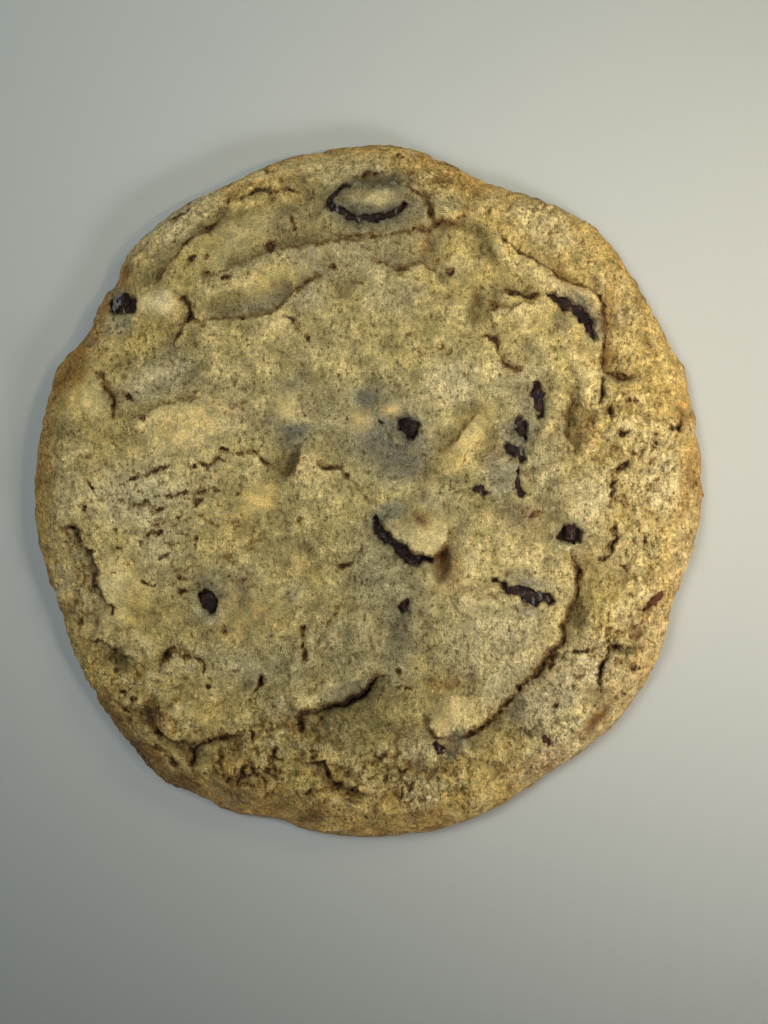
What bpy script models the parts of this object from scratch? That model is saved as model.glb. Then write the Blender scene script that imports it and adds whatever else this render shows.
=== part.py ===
"""A large chocolate chip cookie: one baked dough body, domed and folded on top and flat
underneath, with softened chocolate chips that sit in pockets of its upper surface.

Lengths are in millimetres until the meshes are written, in metres. Z is up, the base lies at
z = 0 and the origin is the middle of the base. Headings run anticlockwise from +X.
"""
import math

import bmesh
import bpy
import numpy as np
from mathutils import noise, Vector

MM = 0.001

# Driving sizes of the dough
HALF_WIDTH = 48.4        # along X
HALF_LENGTH = 50.0       # along Y
CROWN_HEIGHT = 12.0      # plain dome height in the middle
RIM_HEIGHT = 5.4         # plain dome height at the outline, before its shoulder is rounded
CROWN_FLATNESS = 2.5     # exponents of the dome's profile
CROWN_FULLNESS = 0.62
EDGE_ROLL = 6.0          # width of the rounded shoulder
HEEL_ROLL = 2.4          # width of the rounded edge under it
HEEL_HEIGHT = 2.3        # height of the widest line above the base
LUMP_SIZE = 7.5
LUMP_HEIGHT = 0.35
DOUGH_DETAIL = 6         # subdivisions of the starting sphere
DOUGH_KEEP = 0.18        # share of its faces kept where the surface is plain

# Driving sizes of the chips
CHIP_GAP = 0.3           # air between a chip and its pocket
CHIP_ROUND = 8           # sides of a chip's cross-section
CHIP_RINGS = 6           # cross-sections of the shortest chip, with two more for each step
CHIP_RING_STEP = 3.0
LEVEL = 0.05             # share of the half height above which a cutter is lifted
POCKET_LIFT = 5.0        # how far a pocket's cutter stands above the chip

# Bulges and flats round the outline: heading, spread in degrees, height
OUTLINE_BULGES = (
    (20, 4, 0.6), (48, 8, 1.3), (69, 9, -1.6), (86, 5, 0.5), (114, 6, -0.7), (141, 4, -1.5),
    (150, 5.5, -2.1), (200, 8, -0.8), (222, 8, 0.7), (234, 7, 1.7), (246, 5, 0.6),
    (255, 4, -0.7), (302, 9, -1.1), (341, 8, -1.5),
)

# Mounds and hollows: middle x, y, half length, half width, heading, height
MOUNDS = {
    "big_lobe": (18.5, -13.0, 14.0, 10.5, 70, 1.7),
    "nose": (11.0, -31.0, 4.5, 3.2, 75, 1.1),
    "knob": (8.1, -6.0, 3.3, 3.2, 0, 1.8),
    "golden_ridge": (14.2, 8.2, 4.8, 1.9, 53, 1.6),
    "fold_peak": (-8.0, 4.2, 3.0, 2.3, 60, 0.8),
    "left_lobe": (-40.8, 13.0, 3.8, 3.4, 60, 0.7),
    "second_lobe": (-27.5, 7.5, 7.0, 4.6, 20, 0.9),
    "rim_knob": (-29.3, 26.9, 2.7, 2.4, 0, 0.9),
    "right_lobe": (31.2, -3.0, 5.0, 4.4, 80, 0.8),
    "top_patch": (1.2, 41.9, 3.6, 1.6, 0, 0.7),
    "shelf": (21.5, 24.4, 4.6, 3.2, -15, 0.9),
    "upper_plateau": (-20.0, 32.5, 7.0, 4.0, 35, 0.6),
    "lower_right_dip": (27.0, -30.0, 7.0, 4.5, 45, -0.9),
    "tongue": (-26.2, -25.0, 2.6, 2.3, 0, 0.6),
    "left_oval": (-35.2, -23.8, 2.1, 1.6, -40, -1.1),
    "pit_by_knob": (10.3, -10.8, 2.3, 1.3, 80, -1.7),
    "pit_by_lobe": (29.6, -17.5, 2.0, 1.7, 80, -1.3),
    "split_hollow": (-12.4, 4.2, 2.8, 2.2, 30, -1.3),
    "rim_pit": (-31.0, -31.8, 1.7, 1.3, 0, -0.9),
}

# Folds, with the high side on the left of the path:
# path, rise, reach of the rise, sink, reach of the sink, crease depth, crease half width
FOLDS = {
    "plate_edge": (((-5.0, 31.4), (-7.6, 30.2), (-11.3, 27.6), (-13.2, 25.5), (-18.5, 24.6),
                    (-24.8, 24.3)), 0.7, 4.0, 0.6, 3.0, 0.8, 0.9),
    "upper_left_rim": (((-20.5, 40.0), (-22.5, 37.8), (-25.6, 35.7), (-28.3, 32.8),
                        (-30.3, 29.4)), 0.4, 3.0, 0.5, 3.0, 1.2, 0.9),
    "rim_branch": (((-28.3, 29.0), (-26.4, 27.6), (-25.0, 25.6), (-26.8, 22.5),
                    (-28.0, 20.6)), 0.2, 3.0, 0.2, 3.0, 1.0, 0.8),
    "upper_band": (((0.0, 35.7), (-6.0, 35.4), (-9.0, 35.2), (-12.5, 34.6)),
                   0.4, 3.0, 0.4, 2.5, 0.4, 0.8),
    "top_right_rim": (((8.2, 43.0), (8.7, 41.0), (9.8, 38.6), (11.5, 38.3), (14.0, 39.0)),
                      0.6, 3.0, 0.8, 2.5, 0.8, 0.9),
    "plate_crest": (((10.3, 30.2), (9.2, 32.0), (7.3, 32.5), (4.5, 31.6), (0.0, 33.3)),
                    0.4, 3.0, 0.6, 2.5, 0.3, 0.8),
    "right_rim": (((38.8, 16.1), (35.2, 16.4), (33.8, 17.8), (33.6, 20.0), (33.7, 24.0),
                   (33.3, 27.0), (31.2, 29.2), (27.7, 30.4), (23.7, 33.0), (20.2, 35.3),
                   (18.3, 37.5)), 0.5, 3.0, 0.5, 3.0, 1.1, 1.0),
    "shade_band": (((14.7, 23.0), (15.4, 27.5), (14.8, 31.0)), 0.3, 3.0, 0.6, 1.8, 0.4, 0.9),
    "shelf_edge": (((24.8, 27.2), (22.0, 28.0), (20.3, 28.1), (19.2, 29.6)),
                   0.4, 3.0, 0.5, 2.0, 0.6, 0.8),
    "inner_hook": (((21.8, 17.7), (19.8, 18.0), (18.2, 20.0), (18.2, 21.6), (16.0, 21.4)),
                   0.3, 2.5, 0.6, 2.0, 0.3, 0.7),
    "right_pit": (((30.3, 5.2), (28.8, 6.9), (27.9, 9.4), (28.5, 11.2), (28.9, 13.8)),
                  0.5, 3.0, 1.4, 2.2, 0.4, 0.8),
    "ridge_gutter": (((16.3, 11.8), (14.2, 9.6), (12.2, 7.2), (10.3, 5.2)),
                     0.4, 2.0, 0.9, 2.4, 0.3, 0.8),
    "split_fold": (((-8.8, 6.5), (-9.6, 4.9), (-11.6, 1.7)), 0.5, 2.5, 0.9, 2.5, 0.5, 0.8),
    "left_lobe_edge": (((-36.5, 10.2), (-36.3, 12.8), (-37.2, 14.5), (-38.3, 16.9),
                        (-39.8, 17.2)), 0.4, 2.5, 0.5, 2.0, 0.8, 0.7),
    "second_lobe_edge": (((-22.8, 15.6), (-25.0, 13.4), (-29.0, 12.3), (-31.6, 11.2),
                          (-34.3, 9.9)), 0.5, 3.5, 0.6, 3.0, 0.4, 0.8),
    "left_crack": (((-44.6, -5.1), (-42.0, -5.3), (-40.3, -8.0), (-38.9, -10.5),
                    (-38.6, -13.5), (-36.5, -16.8)), 0.6, 3.0, 0.6, 2.5, 1.1, 0.9),
    "tongue_left": (((-28.2, -22.0), (-28.8, -23.6), (-29.8, -25.8)),
                    0.3, 2.0, 0.4, 2.0, 0.9, 0.7),
    "tongue_right": (((-23.3, -26.0), (-23.9, -24.0), (-25.4, -23.5), (-27.0, -21.8)),
                     0.3, 2.0, 0.4, 2.0, 0.8, 0.7),
    "lower_crevice": (((-10.5, -31.9), (-8.0, -31.0), (-4.5, -30.0), (-1.0, -28.6),
                       (0.7, -26.6), (2.9, -25.8)), 0.8, 4.0, 0.9, 3.5, 1.8, 1.1),
    "crevice_branch": (((-9.4, -35.0), (-9.8, -33.0), (-10.2, -31.8)),
                       0.2, 2.0, 0.3, 2.0, 1.1, 0.8),
    "lobe_edge": (((12.6, -35.2), (15.2, -33.9), (17.4, -32.1), (20.3, -28.8), (23.3, -26.4),
                   (24.8, -23.7), (27.2, -21.8), (27.8, -18.4), (29.2, -14.5), (29.4, -11.0),
                   (28.3, -8.4)), 1.0, 4.0, 1.0, 3.5, 1.5, 1.0),
    "right_lobe_edge": (((32.4, -9.8), (34.4, -8.6), (34.8, -6.0), (35.3, -4.6)),
                        0.4, 2.5, 0.4, 2.0, 1.0, 0.7),
    "right_crack": (((33.8, -2.9), (34.7, -1.0), (34.8, 2.8), (36.4, 3.6), (37.0, 4.4)),
                    0.2, 2.0, 0.2, 2.0, 0.9, 0.7),
    "lower_right_rim": (((33.2, -27.3), (32.9, -26.0), (34.0, -23.6), (34.4, -21.9),
                         (36.5, -22.0), (38.2, -22.3)), 0.5, 2.5, 0.5, 2.0, 0.8, 0.7),
    "bottom_crack": (((-9.2, -38.7), (-7.6, -38.4), (-5.6, -39.9), (-4.4, -42.0),
                      (-1.5, -42.9), (1.0, -43.0)), 0.4, 2.5, 0.4, 2.5, 1.1, 0.8),
    "bottom_left_crack": (((-24.7, -41.6), (-25.0, -39.8), (-25.2, -36.9), (-22.5, -35.5),
                           (-18.0, -34.2)), 0.3, 2.5, 0.3, 2.5, 0.9, 0.8),
}

# Chips: middle line, half width, half height, depth of the chip's top below the dough
CHIPS = {
    "chip_top": (((-2.6, 43.9), (-4.8, 42.7), (-5.1, 40.8), (-3.2, 39.5), (1.2, 38.9),
                  (5.1, 41.1)), 0.9, 1.5, 0.7),
    "chip_left_rim": (((-36.2, 27.2), (-34.6, 26.9)), 1.35, 1.5, 0.6),
    "chip_under_lid": (((25.8, 27.5), (29.6, 26.1), (31.3, 24.0), (32.0, 22.0)),
                       0.95, 1.5, 0.7),
    "chip_tall_slot": (((24.0, 15.0), (24.1, 13.0), (24.6, 10.7)), 0.85, 1.5, 0.5),
    "chip_leaf": (((21.2, 10.1), (22.2, 8.0)), 0.85, 1.3, 0.5),
    "chip_film_upper": (((20.2, 6.2), (21.5, 5.0)), 0.8, 1.2, 0.5),
    "chip_film_lower": (((15.0, 0.8), (16.7, 0.0)), 0.8, 1.2, 0.5),
    "chip_film_right": (((21.4, 1.2), (21.7, -0.6)), 0.55, 1.0, 0.4),
    "chip_centre": (((5.5, 10.3), (6.1, 8.0)), 1.35, 1.5, 0.4),
    "chip_under_knob": (((1.3, -3.8), (2.6, -6.4), (5.4, -8.8), (8.8, -9.6)),
                        0.95, 1.6, 0.9),
    "chip_small_low": (((5.5, -15.6), (5.0, -16.9)), 0.6, 1.0, 0.3),
    "chip_long_slot": (((18.4, -13.2), (21.5, -14.1), (26.0, -15.5)), 0.9, 1.4, 0.4),
    "chip_right": (((27.6, -6.2), (30.1, -5.9)), 1.35, 1.6, 0.4),
    "chip_left": (((-22.8, -15.0), (-22.3, -16.6)), 1.3, 1.5, 0.5),
    "chip_under_nose": (((9.7, -35.7), (10.4, -37.3)), 0.65, 1.1, 0.5),
    "chip_in_crevice": (((-5.2, -30.3), (-2.6, -29.5), (-0.4, -28.3)), 0.6, 1.0, 0.3),
    "chip_lower_rim": (((25.3, -35.2), (25.9, -36.0)), 0.6, 0.9, 0.3),
    "chip_right_rim": (((40.1, -16.5), (42.2, -14.8)), 0.6, 0.9, 0.3),
}

PATH_STEP = 0.6          # spacing of the points worked out along a path
FOLD_END = 2.5           # length over which a fold dies out at each end
FOLD_BREADTH = 4.0       # reaches beyond which a fold no longer counts

# Looks of the two materials: base colour, roughness
DOUGH_LOOK = ((0.47, 0.36, 0.17, 1.0), 0.85)
CHOCOLATE_LOOK = ((0.035, 0.016, 0.010, 1.0), 0.45)


def clear_scene():
    for thing in list(bpy.data.objects):
        bpy.data.objects.remove(thing, do_unlink=True)


def new_collection(name):
    collection = bpy.data.collections.new(name)
    bpy.context.scene.collection.children.link(collection)
    return collection


def plain_material(name, look):
    colour, roughness = look
    material = bpy.data.materials.new(name)
    material.use_nodes = True
    shader = material.node_tree.nodes["Principled BSDF"]
    shader.inputs["Base Color"].default_value = colour
    shader.inputs["Roughness"].default_value = roughness
    shader.inputs["Metallic"].default_value = 0.0
    material.diffuse_color = colour
    return material


def smooth_path(points):
    """Closely spaced points along a smooth curve through the given ones."""
    corners = np.array(points, float)
    before = 2 * corners[:1] - corners[1:2]
    after = 2 * corners[-1:] - corners[-2:-1]
    frame = np.vstack([before, corners, after])
    pieces = []
    for i in range(1, len(frame) - 2):
        p0, p1, p2, p3 = frame[i - 1:i + 3]
        count = max(2, math.ceil(np.linalg.norm(p2 - p1) / PATH_STEP))
        t = (np.arange(count) / count)[:, None]
        pieces.append(0.5 * (2 * p1 + (p2 - p0) * t + (2 * p0 - 5 * p1 + 4 * p2 - p3) * t**2
                             + (3 * p1 - p0 - 3 * p2 + p3) * t**3))
    pieces.append(corners[-1:])
    return np.vstack(pieces)


def path_tangents(path):
    steps = np.gradient(path, axis=0)
    return steps / np.linalg.norm(steps, axis=1, keepdims=True)


def nearest_on_path(x, y, path):
    """For each point: distance to the path, side (+1 left, -1 right), length from the nearer end."""
    tangents = path_tangents(path)
    along = np.concatenate([[0.0], np.cumsum(np.linalg.norm(np.diff(path, axis=0), axis=1))])
    dx = x[:, None] - path[None, :, 0]
    dy = y[:, None] - path[None, :, 1]
    nearest = np.argmin(dx * dx + dy * dy, axis=1)
    rows = np.arange(len(x))
    dx = dx[rows, nearest]
    dy = dy[rows, nearest]
    tx, ty = tangents[nearest].T
    side = np.where(tx * dy - ty * dx >= 0, 1.0, -1.0)
    from_end = np.minimum(along[nearest], along[-1] - along[nearest])
    return np.hypot(dx, dy), side, from_end


def outline_radius(heading):
    """Distance from the middle to the widest line, in the direction of a heading in radians."""
    radius = HALF_WIDTH * HALF_LENGTH / np.hypot(HALF_LENGTH * np.cos(heading),
                                                 HALF_WIDTH * np.sin(heading))
    for degrees, spread, height in OUTLINE_BULGES:
        turn = np.degrees(np.angle(np.exp(1j * (heading - math.radians(degrees)))))
        radius = radius + height * np.exp(-(turn / spread)**2)
    return radius


def add_mound(x, y, middle_x, middle_y, half_length, half_width, heading, height):
    turn = math.radians(heading)
    dx = x - middle_x
    dy = y - middle_y
    along = dx * math.cos(turn) + dy * math.sin(turn)
    across = dy * math.cos(turn) - dx * math.sin(turn)
    away = (along / half_length)**2 + (across / half_width)**2
    return height * np.exp(-away**1.5)


def add_fold(x, y, points, rise, rise_reach, sink, sink_reach, crease, crease_width):
    path = smooth_path(points)
    margin = FOLD_BREADTH * max(rise_reach, sink_reach)
    lowest = path.min(axis=0) - margin
    highest = path.max(axis=0) + margin
    near = (x > lowest[0]) & (x < highest[0]) & (y > lowest[1]) & (y < highest[1])
    change = np.zeros_like(x)
    if not near.any():
        return change
    distance, side, from_end = nearest_on_path(x[near], y[near], path)
    beyond_end = np.clip(from_end / FOLD_END, 0.0, 1.0)
    strength = beyond_end * (2.0 - beyond_end)
    lifted = rise * np.exp(-distance / rise_reach)
    lowered = -sink * np.exp(-distance / sink_reach)
    groove = -crease * np.exp(-(distance / crease_width)**2)
    change[near] = strength * (np.where(side > 0, lifted, lowered) + groove)
    return change


def lumps(x, y):
    """Gentle unevenness of the baked surface."""
    values = [noise.noise(Vector((px / LUMP_SIZE, py / LUMP_SIZE, 0.0))) for px, py in zip(x, y)]
    return LUMP_HEIGHT * np.array(values)


def roll_off(inset, width):
    """Quarter-round falling to zero at the outline: 1 where the inset is at least the width."""
    share = np.clip(inset / width, 0.0, 1.0)
    return np.sqrt(1.0 - (1.0 - share)**2)


def dough_top(x, y):
    """Height of the dough's upper surface, with its rounded shoulder."""
    distance = np.hypot(x, y)
    radius = outline_radius(np.arctan2(y, x))
    level = np.clip(distance / radius, 0.0, 1.0)
    rise = (1.0 - level**CROWN_FLATNESS)**CROWN_FULLNESS
    height = RIM_HEIGHT + (CROWN_HEIGHT - RIM_HEIGHT) * rise + lumps(x, y)
    for mound in MOUNDS.values():
        height = height + add_mound(x, y, *mound)
    for fold in FOLDS.values():
        height = height + add_fold(x, y, *fold)
    return HEEL_HEIGHT + (height - HEEL_HEIGHT) * roll_off(radius - distance, EDGE_ROLL)


def dough_base(x, y):
    """Height of its underside: flat, with a rounded edge."""
    inset = outline_radius(np.arctan2(y, x)) - np.hypot(x, y)
    return HEEL_HEIGHT * (1.0 - roll_off(inset, HEEL_ROLL))


def build_dough(collection, material):
    """A sphere flattened into the cookie: its upper half is the top, its lower half the base."""
    shell = bmesh.new()
    bmesh.ops.create_icosphere(shell, subdivisions=DOUGH_DETAIL, radius=1.0)
    sphere = np.array([vertex.co for vertex in shell.verts])
    heading = np.arctan2(sphere[:, 1], sphere[:, 0])
    distance = np.sqrt(1.0 - np.abs(sphere[:, 2])) * outline_radius(heading)
    x = distance * np.cos(heading)
    y = distance * np.sin(heading)
    z = np.where(sphere[:, 2] >= 0.0, dough_top(x, y), dough_base(x, y))
    for vertex, place in zip(shell.verts, np.stack([x, y, z], axis=1) * MM):
        vertex.co = place
    mesh = bpy.data.meshes.new("dough")
    shell.to_mesh(mesh)
    shell.free()
    mesh.shade_smooth()
    mesh.materials.append(material)
    dough = bpy.data.objects.new("dough", mesh)
    collection.objects.link(dough)
    lighten = dough.modifiers.new("fewer faces", "DECIMATE")
    lighten.ratio = DOUGH_KEEP
    return dough


def pebble_mesh(name, points, half_width, half_height, depth, grow=0.0, lift=0.0):
    """A rounded bar laid along a path, its top a little below the dough's surface.

    grow makes it larger all round, and lift raises its upper half to stand clear of the dough.
    """
    path = smooth_path(points)
    lengths = np.concatenate([[0.0], np.cumsum(np.linalg.norm(np.diff(path, axis=0), axis=1))])
    tangents = path_tangents(path)
    surface = dough_top(path[:, 0], path[:, 1])
    overhang = half_width + grow
    half_length = lengths[-1] / 2 + overhang
    shell = bmesh.new()
    bmesh.ops.create_uvsphere(shell, u_segments=CHIP_ROUND, radius=1.0,
                              v_segments=CHIP_RINGS + 2 * math.ceil(lengths[-1] / CHIP_RING_STEP))
    for vertex in shell.verts:
        across, up, along = vertex.co
        fuller = math.sqrt(1.0 + along * along)
        at = (along + 1.0) * half_length - overhang
        inside = min(max(at, 0.0), lengths[-1])
        x, y, tangent_x, tangent_y, top = (
            np.interp(inside, lengths, values) for values in
            (path[:, 0], path[:, 1], tangents[:, 0], tangents[:, 1], surface))
        past = at - inside
        offset = across * fuller * (half_width + grow)
        z = top - depth - half_height + up * fuller * (half_height + grow)
        if up > LEVEL:
            z += lift
        vertex.co = Vector((x + past * tangent_x - offset * tangent_y,
                            y + past * tangent_y + offset * tangent_x, z)) * MM
    mesh = bpy.data.meshes.new(name)
    shell.to_mesh(mesh)
    shell.free()
    return mesh


def build_chip(name, chip, collection, material):
    mesh = pebble_mesh(name, *chip)
    mesh.shade_smooth()
    mesh.materials.append(material)
    collection.objects.link(bpy.data.objects.new(name, mesh))


def cut_pocket(dough, name, chip, collection):
    """The space that a chip has pressed into the dough, open above."""
    mesh = pebble_mesh(name, *chip, grow=CHIP_GAP, lift=POCKET_LIFT)
    cutter = bpy.data.objects.new(name, mesh)
    cutter.hide_render = True
    cutter.display_type = "WIRE"
    collection.objects.link(cutter)
    cut = dough.modifiers.new(name, "BOOLEAN")
    cut.operation = "DIFFERENCE"
    cut.solver = "EXACT"
    cut.object = cutter


def build_cookie():
    clear_scene()
    cookie = new_collection("cookie")
    pockets = new_collection("pockets")
    baked_dough = plain_material("baked_dough", DOUGH_LOOK)
    chocolate = plain_material("chocolate", CHOCOLATE_LOOK)
    dough = build_dough(cookie, baked_dough)
    for name, chip in CHIPS.items():
        build_chip(name, chip, cookie, chocolate)
        cut_pocket(dough, "pocket_" + name, chip, pockets)


build_cookie()
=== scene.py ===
"""Looks of a large chocolate chip cookie: the folded, cracked and browned dough, the softened
chips that show in its windows, baked-on crumbs, a plain floor, soft light and a camera above.

The tables and the relief are in millimetres, the camera and the lights in metres. Headings run
anticlockwise from +X.
"""

import math

import bmesh
import bpy
import numpy as np
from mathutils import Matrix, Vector


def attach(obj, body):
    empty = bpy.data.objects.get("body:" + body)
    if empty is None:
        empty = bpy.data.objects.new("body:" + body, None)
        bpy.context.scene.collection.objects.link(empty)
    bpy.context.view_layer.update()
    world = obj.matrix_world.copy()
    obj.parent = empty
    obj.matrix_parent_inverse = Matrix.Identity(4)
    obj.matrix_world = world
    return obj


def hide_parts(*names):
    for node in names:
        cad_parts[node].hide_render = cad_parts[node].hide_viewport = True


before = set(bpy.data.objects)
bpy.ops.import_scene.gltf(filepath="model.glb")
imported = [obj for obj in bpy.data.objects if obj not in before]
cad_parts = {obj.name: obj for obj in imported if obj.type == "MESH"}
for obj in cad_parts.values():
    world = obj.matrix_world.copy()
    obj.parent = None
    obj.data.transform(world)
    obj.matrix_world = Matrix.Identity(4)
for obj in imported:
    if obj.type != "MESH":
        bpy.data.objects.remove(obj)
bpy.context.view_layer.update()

MM = 0.001
SEED = 20

# The same driving sizes as the solid dough
HALF_WIDTH = 48.4
HALF_LENGTH = 50.0
CROWN_HEIGHT = 12.0
RIM_HEIGHT = 5.4
CROWN_FLATNESS = 2.5
CROWN_FULLNESS = 0.62
EDGE_ROLL = 6.0
HEEL_ROLL = 2.4
HEEL_HEIGHT = 2.3
LUMP_SIZE = 7.5
LUMP_HEIGHT = 0.35

# Making of the skin
SKIN_CUTS = 240          # cuts across each side of the starting cube
SKIN_FACES = 198000      # triangles kept, most of them where the relief is rough
TOP_SHARE = -0.2         # height on the starting sphere of the line between top and base
PATH_STEP = 0.25         # spacing of the points worked out along a path
FOLD_END = 2.5           # length over which a fold dies out at each end
TILE = 64                # size of the tables of random values
CRUMB_DOUBLINGS = 11     # 2 to this power crumbs
FOLD_GAIN = 1.5          # how much the steps of the folds are raised against their list
RIB_GAIN = 1.5           # the same for the valleys and ridges
SOFT_CEILING = 13.2      # height from which the tallest swellings are held back
MAP_HALF = 51.0          # half side of the square over which peaks and hollows are found
MAP_STEP = 0.25          # spacing of its points

THINNEST = 0.32          # half width of the finest crack that the skin can show

# Lumps of the open crumb: size, height, seed
GRANULES = ((6.5, 0.85, 91), (3.2, 0.85, 92), (1.7, 0.65, 93), (0.95, 0.42, 94))

# Cracks of the open crumb: spacing, half width, depth, seed
RIM_CRACKS = ((3.8, 0.40, 0.9, 111), (2.1, 0.28, 0.6, 113))

# Cracks of the dry skin: spacing, depth, sharpness, seed
DRY_CRACKS = ((3.6, 0.45, 0.07, 101), (1.8, 0.25, 0.09, 103))

# Making of the chips
CHIP_MARGIN = 0.5        # how far a chip runs on under the edge of its window
CHIP_THICKNESS = 0.9     # half of its thickness
CHIP_SINK = 0.4          # share of the window's depth at which its top lies
RUSTY = {"soft_chip_right_rim": 1.0, "soft_chip_lower_rim": 0.5}    # chips baked red-brown
FROSTED = {"soft_chip_left_rim": 1.0, "soft_chip_long_slot": 0.4}   # chips with grey streaks

# Colours of the dough, and of what lies over it. Some of them are painted light and shade: painted
# light on the outer ring and on raised or lit places, painted shade in hollows, in cracks and beside
# folds
TONES = {
    "crumb": (0.485, 0.405, 0.172), "light_crumb": (0.60, 0.495, 0.215),
    "rim": (0.70, 0.45, 0.145), "painted_light_outward": (1.30, 1.18, 0.98), "toasted": (0.62, 0.41, 0.13),
    "golden": (0.80, 0.64, 0.29), "peak_painted_highlight": (0.90, 0.73, 0.36), "hollow_painted_shade": (0.25, 0.19, 0.075),
    "bleed": (0.235, 0.238, 0.20), "stain": (0.098, 0.093, 0.066), "honey": (0.83, 0.61, 0.21),
    "pale_and_painted_light": (0.92, 0.80, 0.49), "clod": (0.98, 0.82, 0.46), "gully": (0.38, 0.215, 0.055),
    "olive_and_painted_shade": (0.20, 0.165, 0.06), "crust_and_painted_shade": (0.42, 0.225, 0.055), "brown": (0.15, 0.065, 0.022),
    "flake": (0.40, 0.20, 0.055), "low_grain": (0.43, 0.34, 0.19), "dash": (0.46, 0.36, 0.20),
    "shade": (0.46, 0.38, 0.25), "large_pore": (0.12, 0.075, 0.028), "small_pore": (0.15, 0.10, 0.04),
    "crack_side_painted_shade": (0.25, 0.125, 0.030), "crack_floor_painted_shade": (0.046, 0.021, 0.008),
    "base": (0.22, 0.105, 0.032), "light_base": (0.36, 0.20, 0.07), "window": (0.030, 0.015, 0.009),
}
ROUGH_MIDDLE = 0.51      # middle value of the dough's fine roughness

# Colours of the chocolate
COCOA = {
    "dark": (0.006, 0.003, 0.003), "light": (0.030, 0.009, 0.006), "streak": (0.13, 0.06, 0.05),
    "bloom_and_painted_glint": (0.22, 0.19, 0.18), "frost": (0.30, 0.30, 0.31), "rust": (0.105, 0.036, 0.012),
}

# Camera, floor and lights. Each light: place, target, size, energy, colour, spread in degrees
CAMERA_PLACE = (0.00232, -0.0029, 0.3742)
CAMERA_LENS = 90.0
SENSOR_WIDTH = 36.0
FLOOR_HALF_SIDE = 1.5
FLOOR_COLOUR = (0.44, 0.46, 0.465)
LIGHTS = {
    "overhead": ((-0.18, 0.10, 0.50), (-0.015, 0.05, 0.0), 0.24, 0.137, (0.93, 1.0, 0.97), 50),
    "window": ((0.22, 0.20, 0.30), (0.02, 0.03, 0.0), 0.14, 0.275, (1.0, 0.98, 0.58), 180),
    "low": ((0.29, -0.22, 0.27), (0.06, 0.0, 0.0), 0.14, 0.042, (0.98, 0.97, 0.95), 30),
    "key": ((0.26, 0.0, 0.40), (0.065, 0.015, 0.0), 0.08, 0.032, (1.0, 0.80, 0.55), 27),
}
WORLD_COLOUR = (0.86, 0.95, 1.0, 1.0)
WORLD_STRENGTH = 0.015

# Bulges and flats round the outline: heading, spread in degrees, height
OUTLINE_BULGES = (
    (20, 4, 0.6), (48, 8, 1.3), (69, 9, -1.6), (86, 5, 0.5), (114, 6, -0.7), (141, 4, -1.5),
    (150, 5.5, -2.1), (200, 8, -0.8), (222, 8, 0.7), (234, 7, 1.7), (246, 5, 0.6),
    (255, 4, -0.7), (302, 9, -1.1), (341, 8, -1.5),
)

# Mounds and hollows: middle x, y, half length, half width, heading, height
MOUNDS = {
    "big_lobe": (18.5, -13.0, 14.0, 10.5, 70, 1.7),
    "nose": (11.0, -31.0, 4.5, 3.2, 75, 0.9),
    "knob": (8.4, -5.8, 3.2, 3.2, 0, 1.5),
    "spot_bump": (-0.8, 9.9, 1.9, 1.8, 0, 0.5),
    "spot_bump_b": (3.4, 11.7, 1.5, 1.2, 20, 0.5),
    "spot_bump_c": (-11.8, 12.0, 1.8, 1.6, 0, 0.4),
    "left_bump": (-16.0, -1.0, 2.8, 1.8, 10, 0.3),
    "golden_ridge": (13.5, 7.0, 5.2, 2.1, 53, 1.0),
    "fold_peak": (-8.0, 4.2, 3.0, 2.3, 60, 0.8),
    "left_lobe": (-40.8, 13.0, 3.8, 3.4, 60, 0.7),
    "second_lobe": (-27.5, 7.5, 7.0, 4.6, 20, 0.9),
    "rim_knob": (-29.2, 27.0, 2.5, 2.3, 0, 1.3),
    "right_lobe": (31.2, -3.0, 5.0, 4.4, 80, 0.8),
    "top_patch": (1.6, 42.0, 3.4, 1.6, 0, 1.2),
    "shelf": (21.5, 24.0, 4.6, 3.2, -15, 0.3),
    "flap_hollow": (2.8, 44.7, 4.2, 0.9, -8, -0.8),
    "upper_plateau": (-20.0, 32.5, 7.0, 4.0, 35, 0.4),
    "lower_right_dip": (27.0, -30.0, 7.0, 4.5, 45, -0.9),
    "tongue": (-26.2, -25.0, 2.6, 2.3, 0, 0.6),
    "left_oval": (-35.2, -23.8, 2.1, 1.6, -40, -1.1),
    "pit_by_knob": (10.5, -10.2, 2.6, 1.0, 82, -2.0),
    "pit_by_lobe": (29.6, -17.5, 2.0, 1.7, 80, -1.3),
    "split_hollow": (-12.0, 4.0, 2.8, 2.0, 45, -0.6),
    "rim_pit": (-31.0, -31.8, 1.7, 1.3, 0, -0.9),
}

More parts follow.
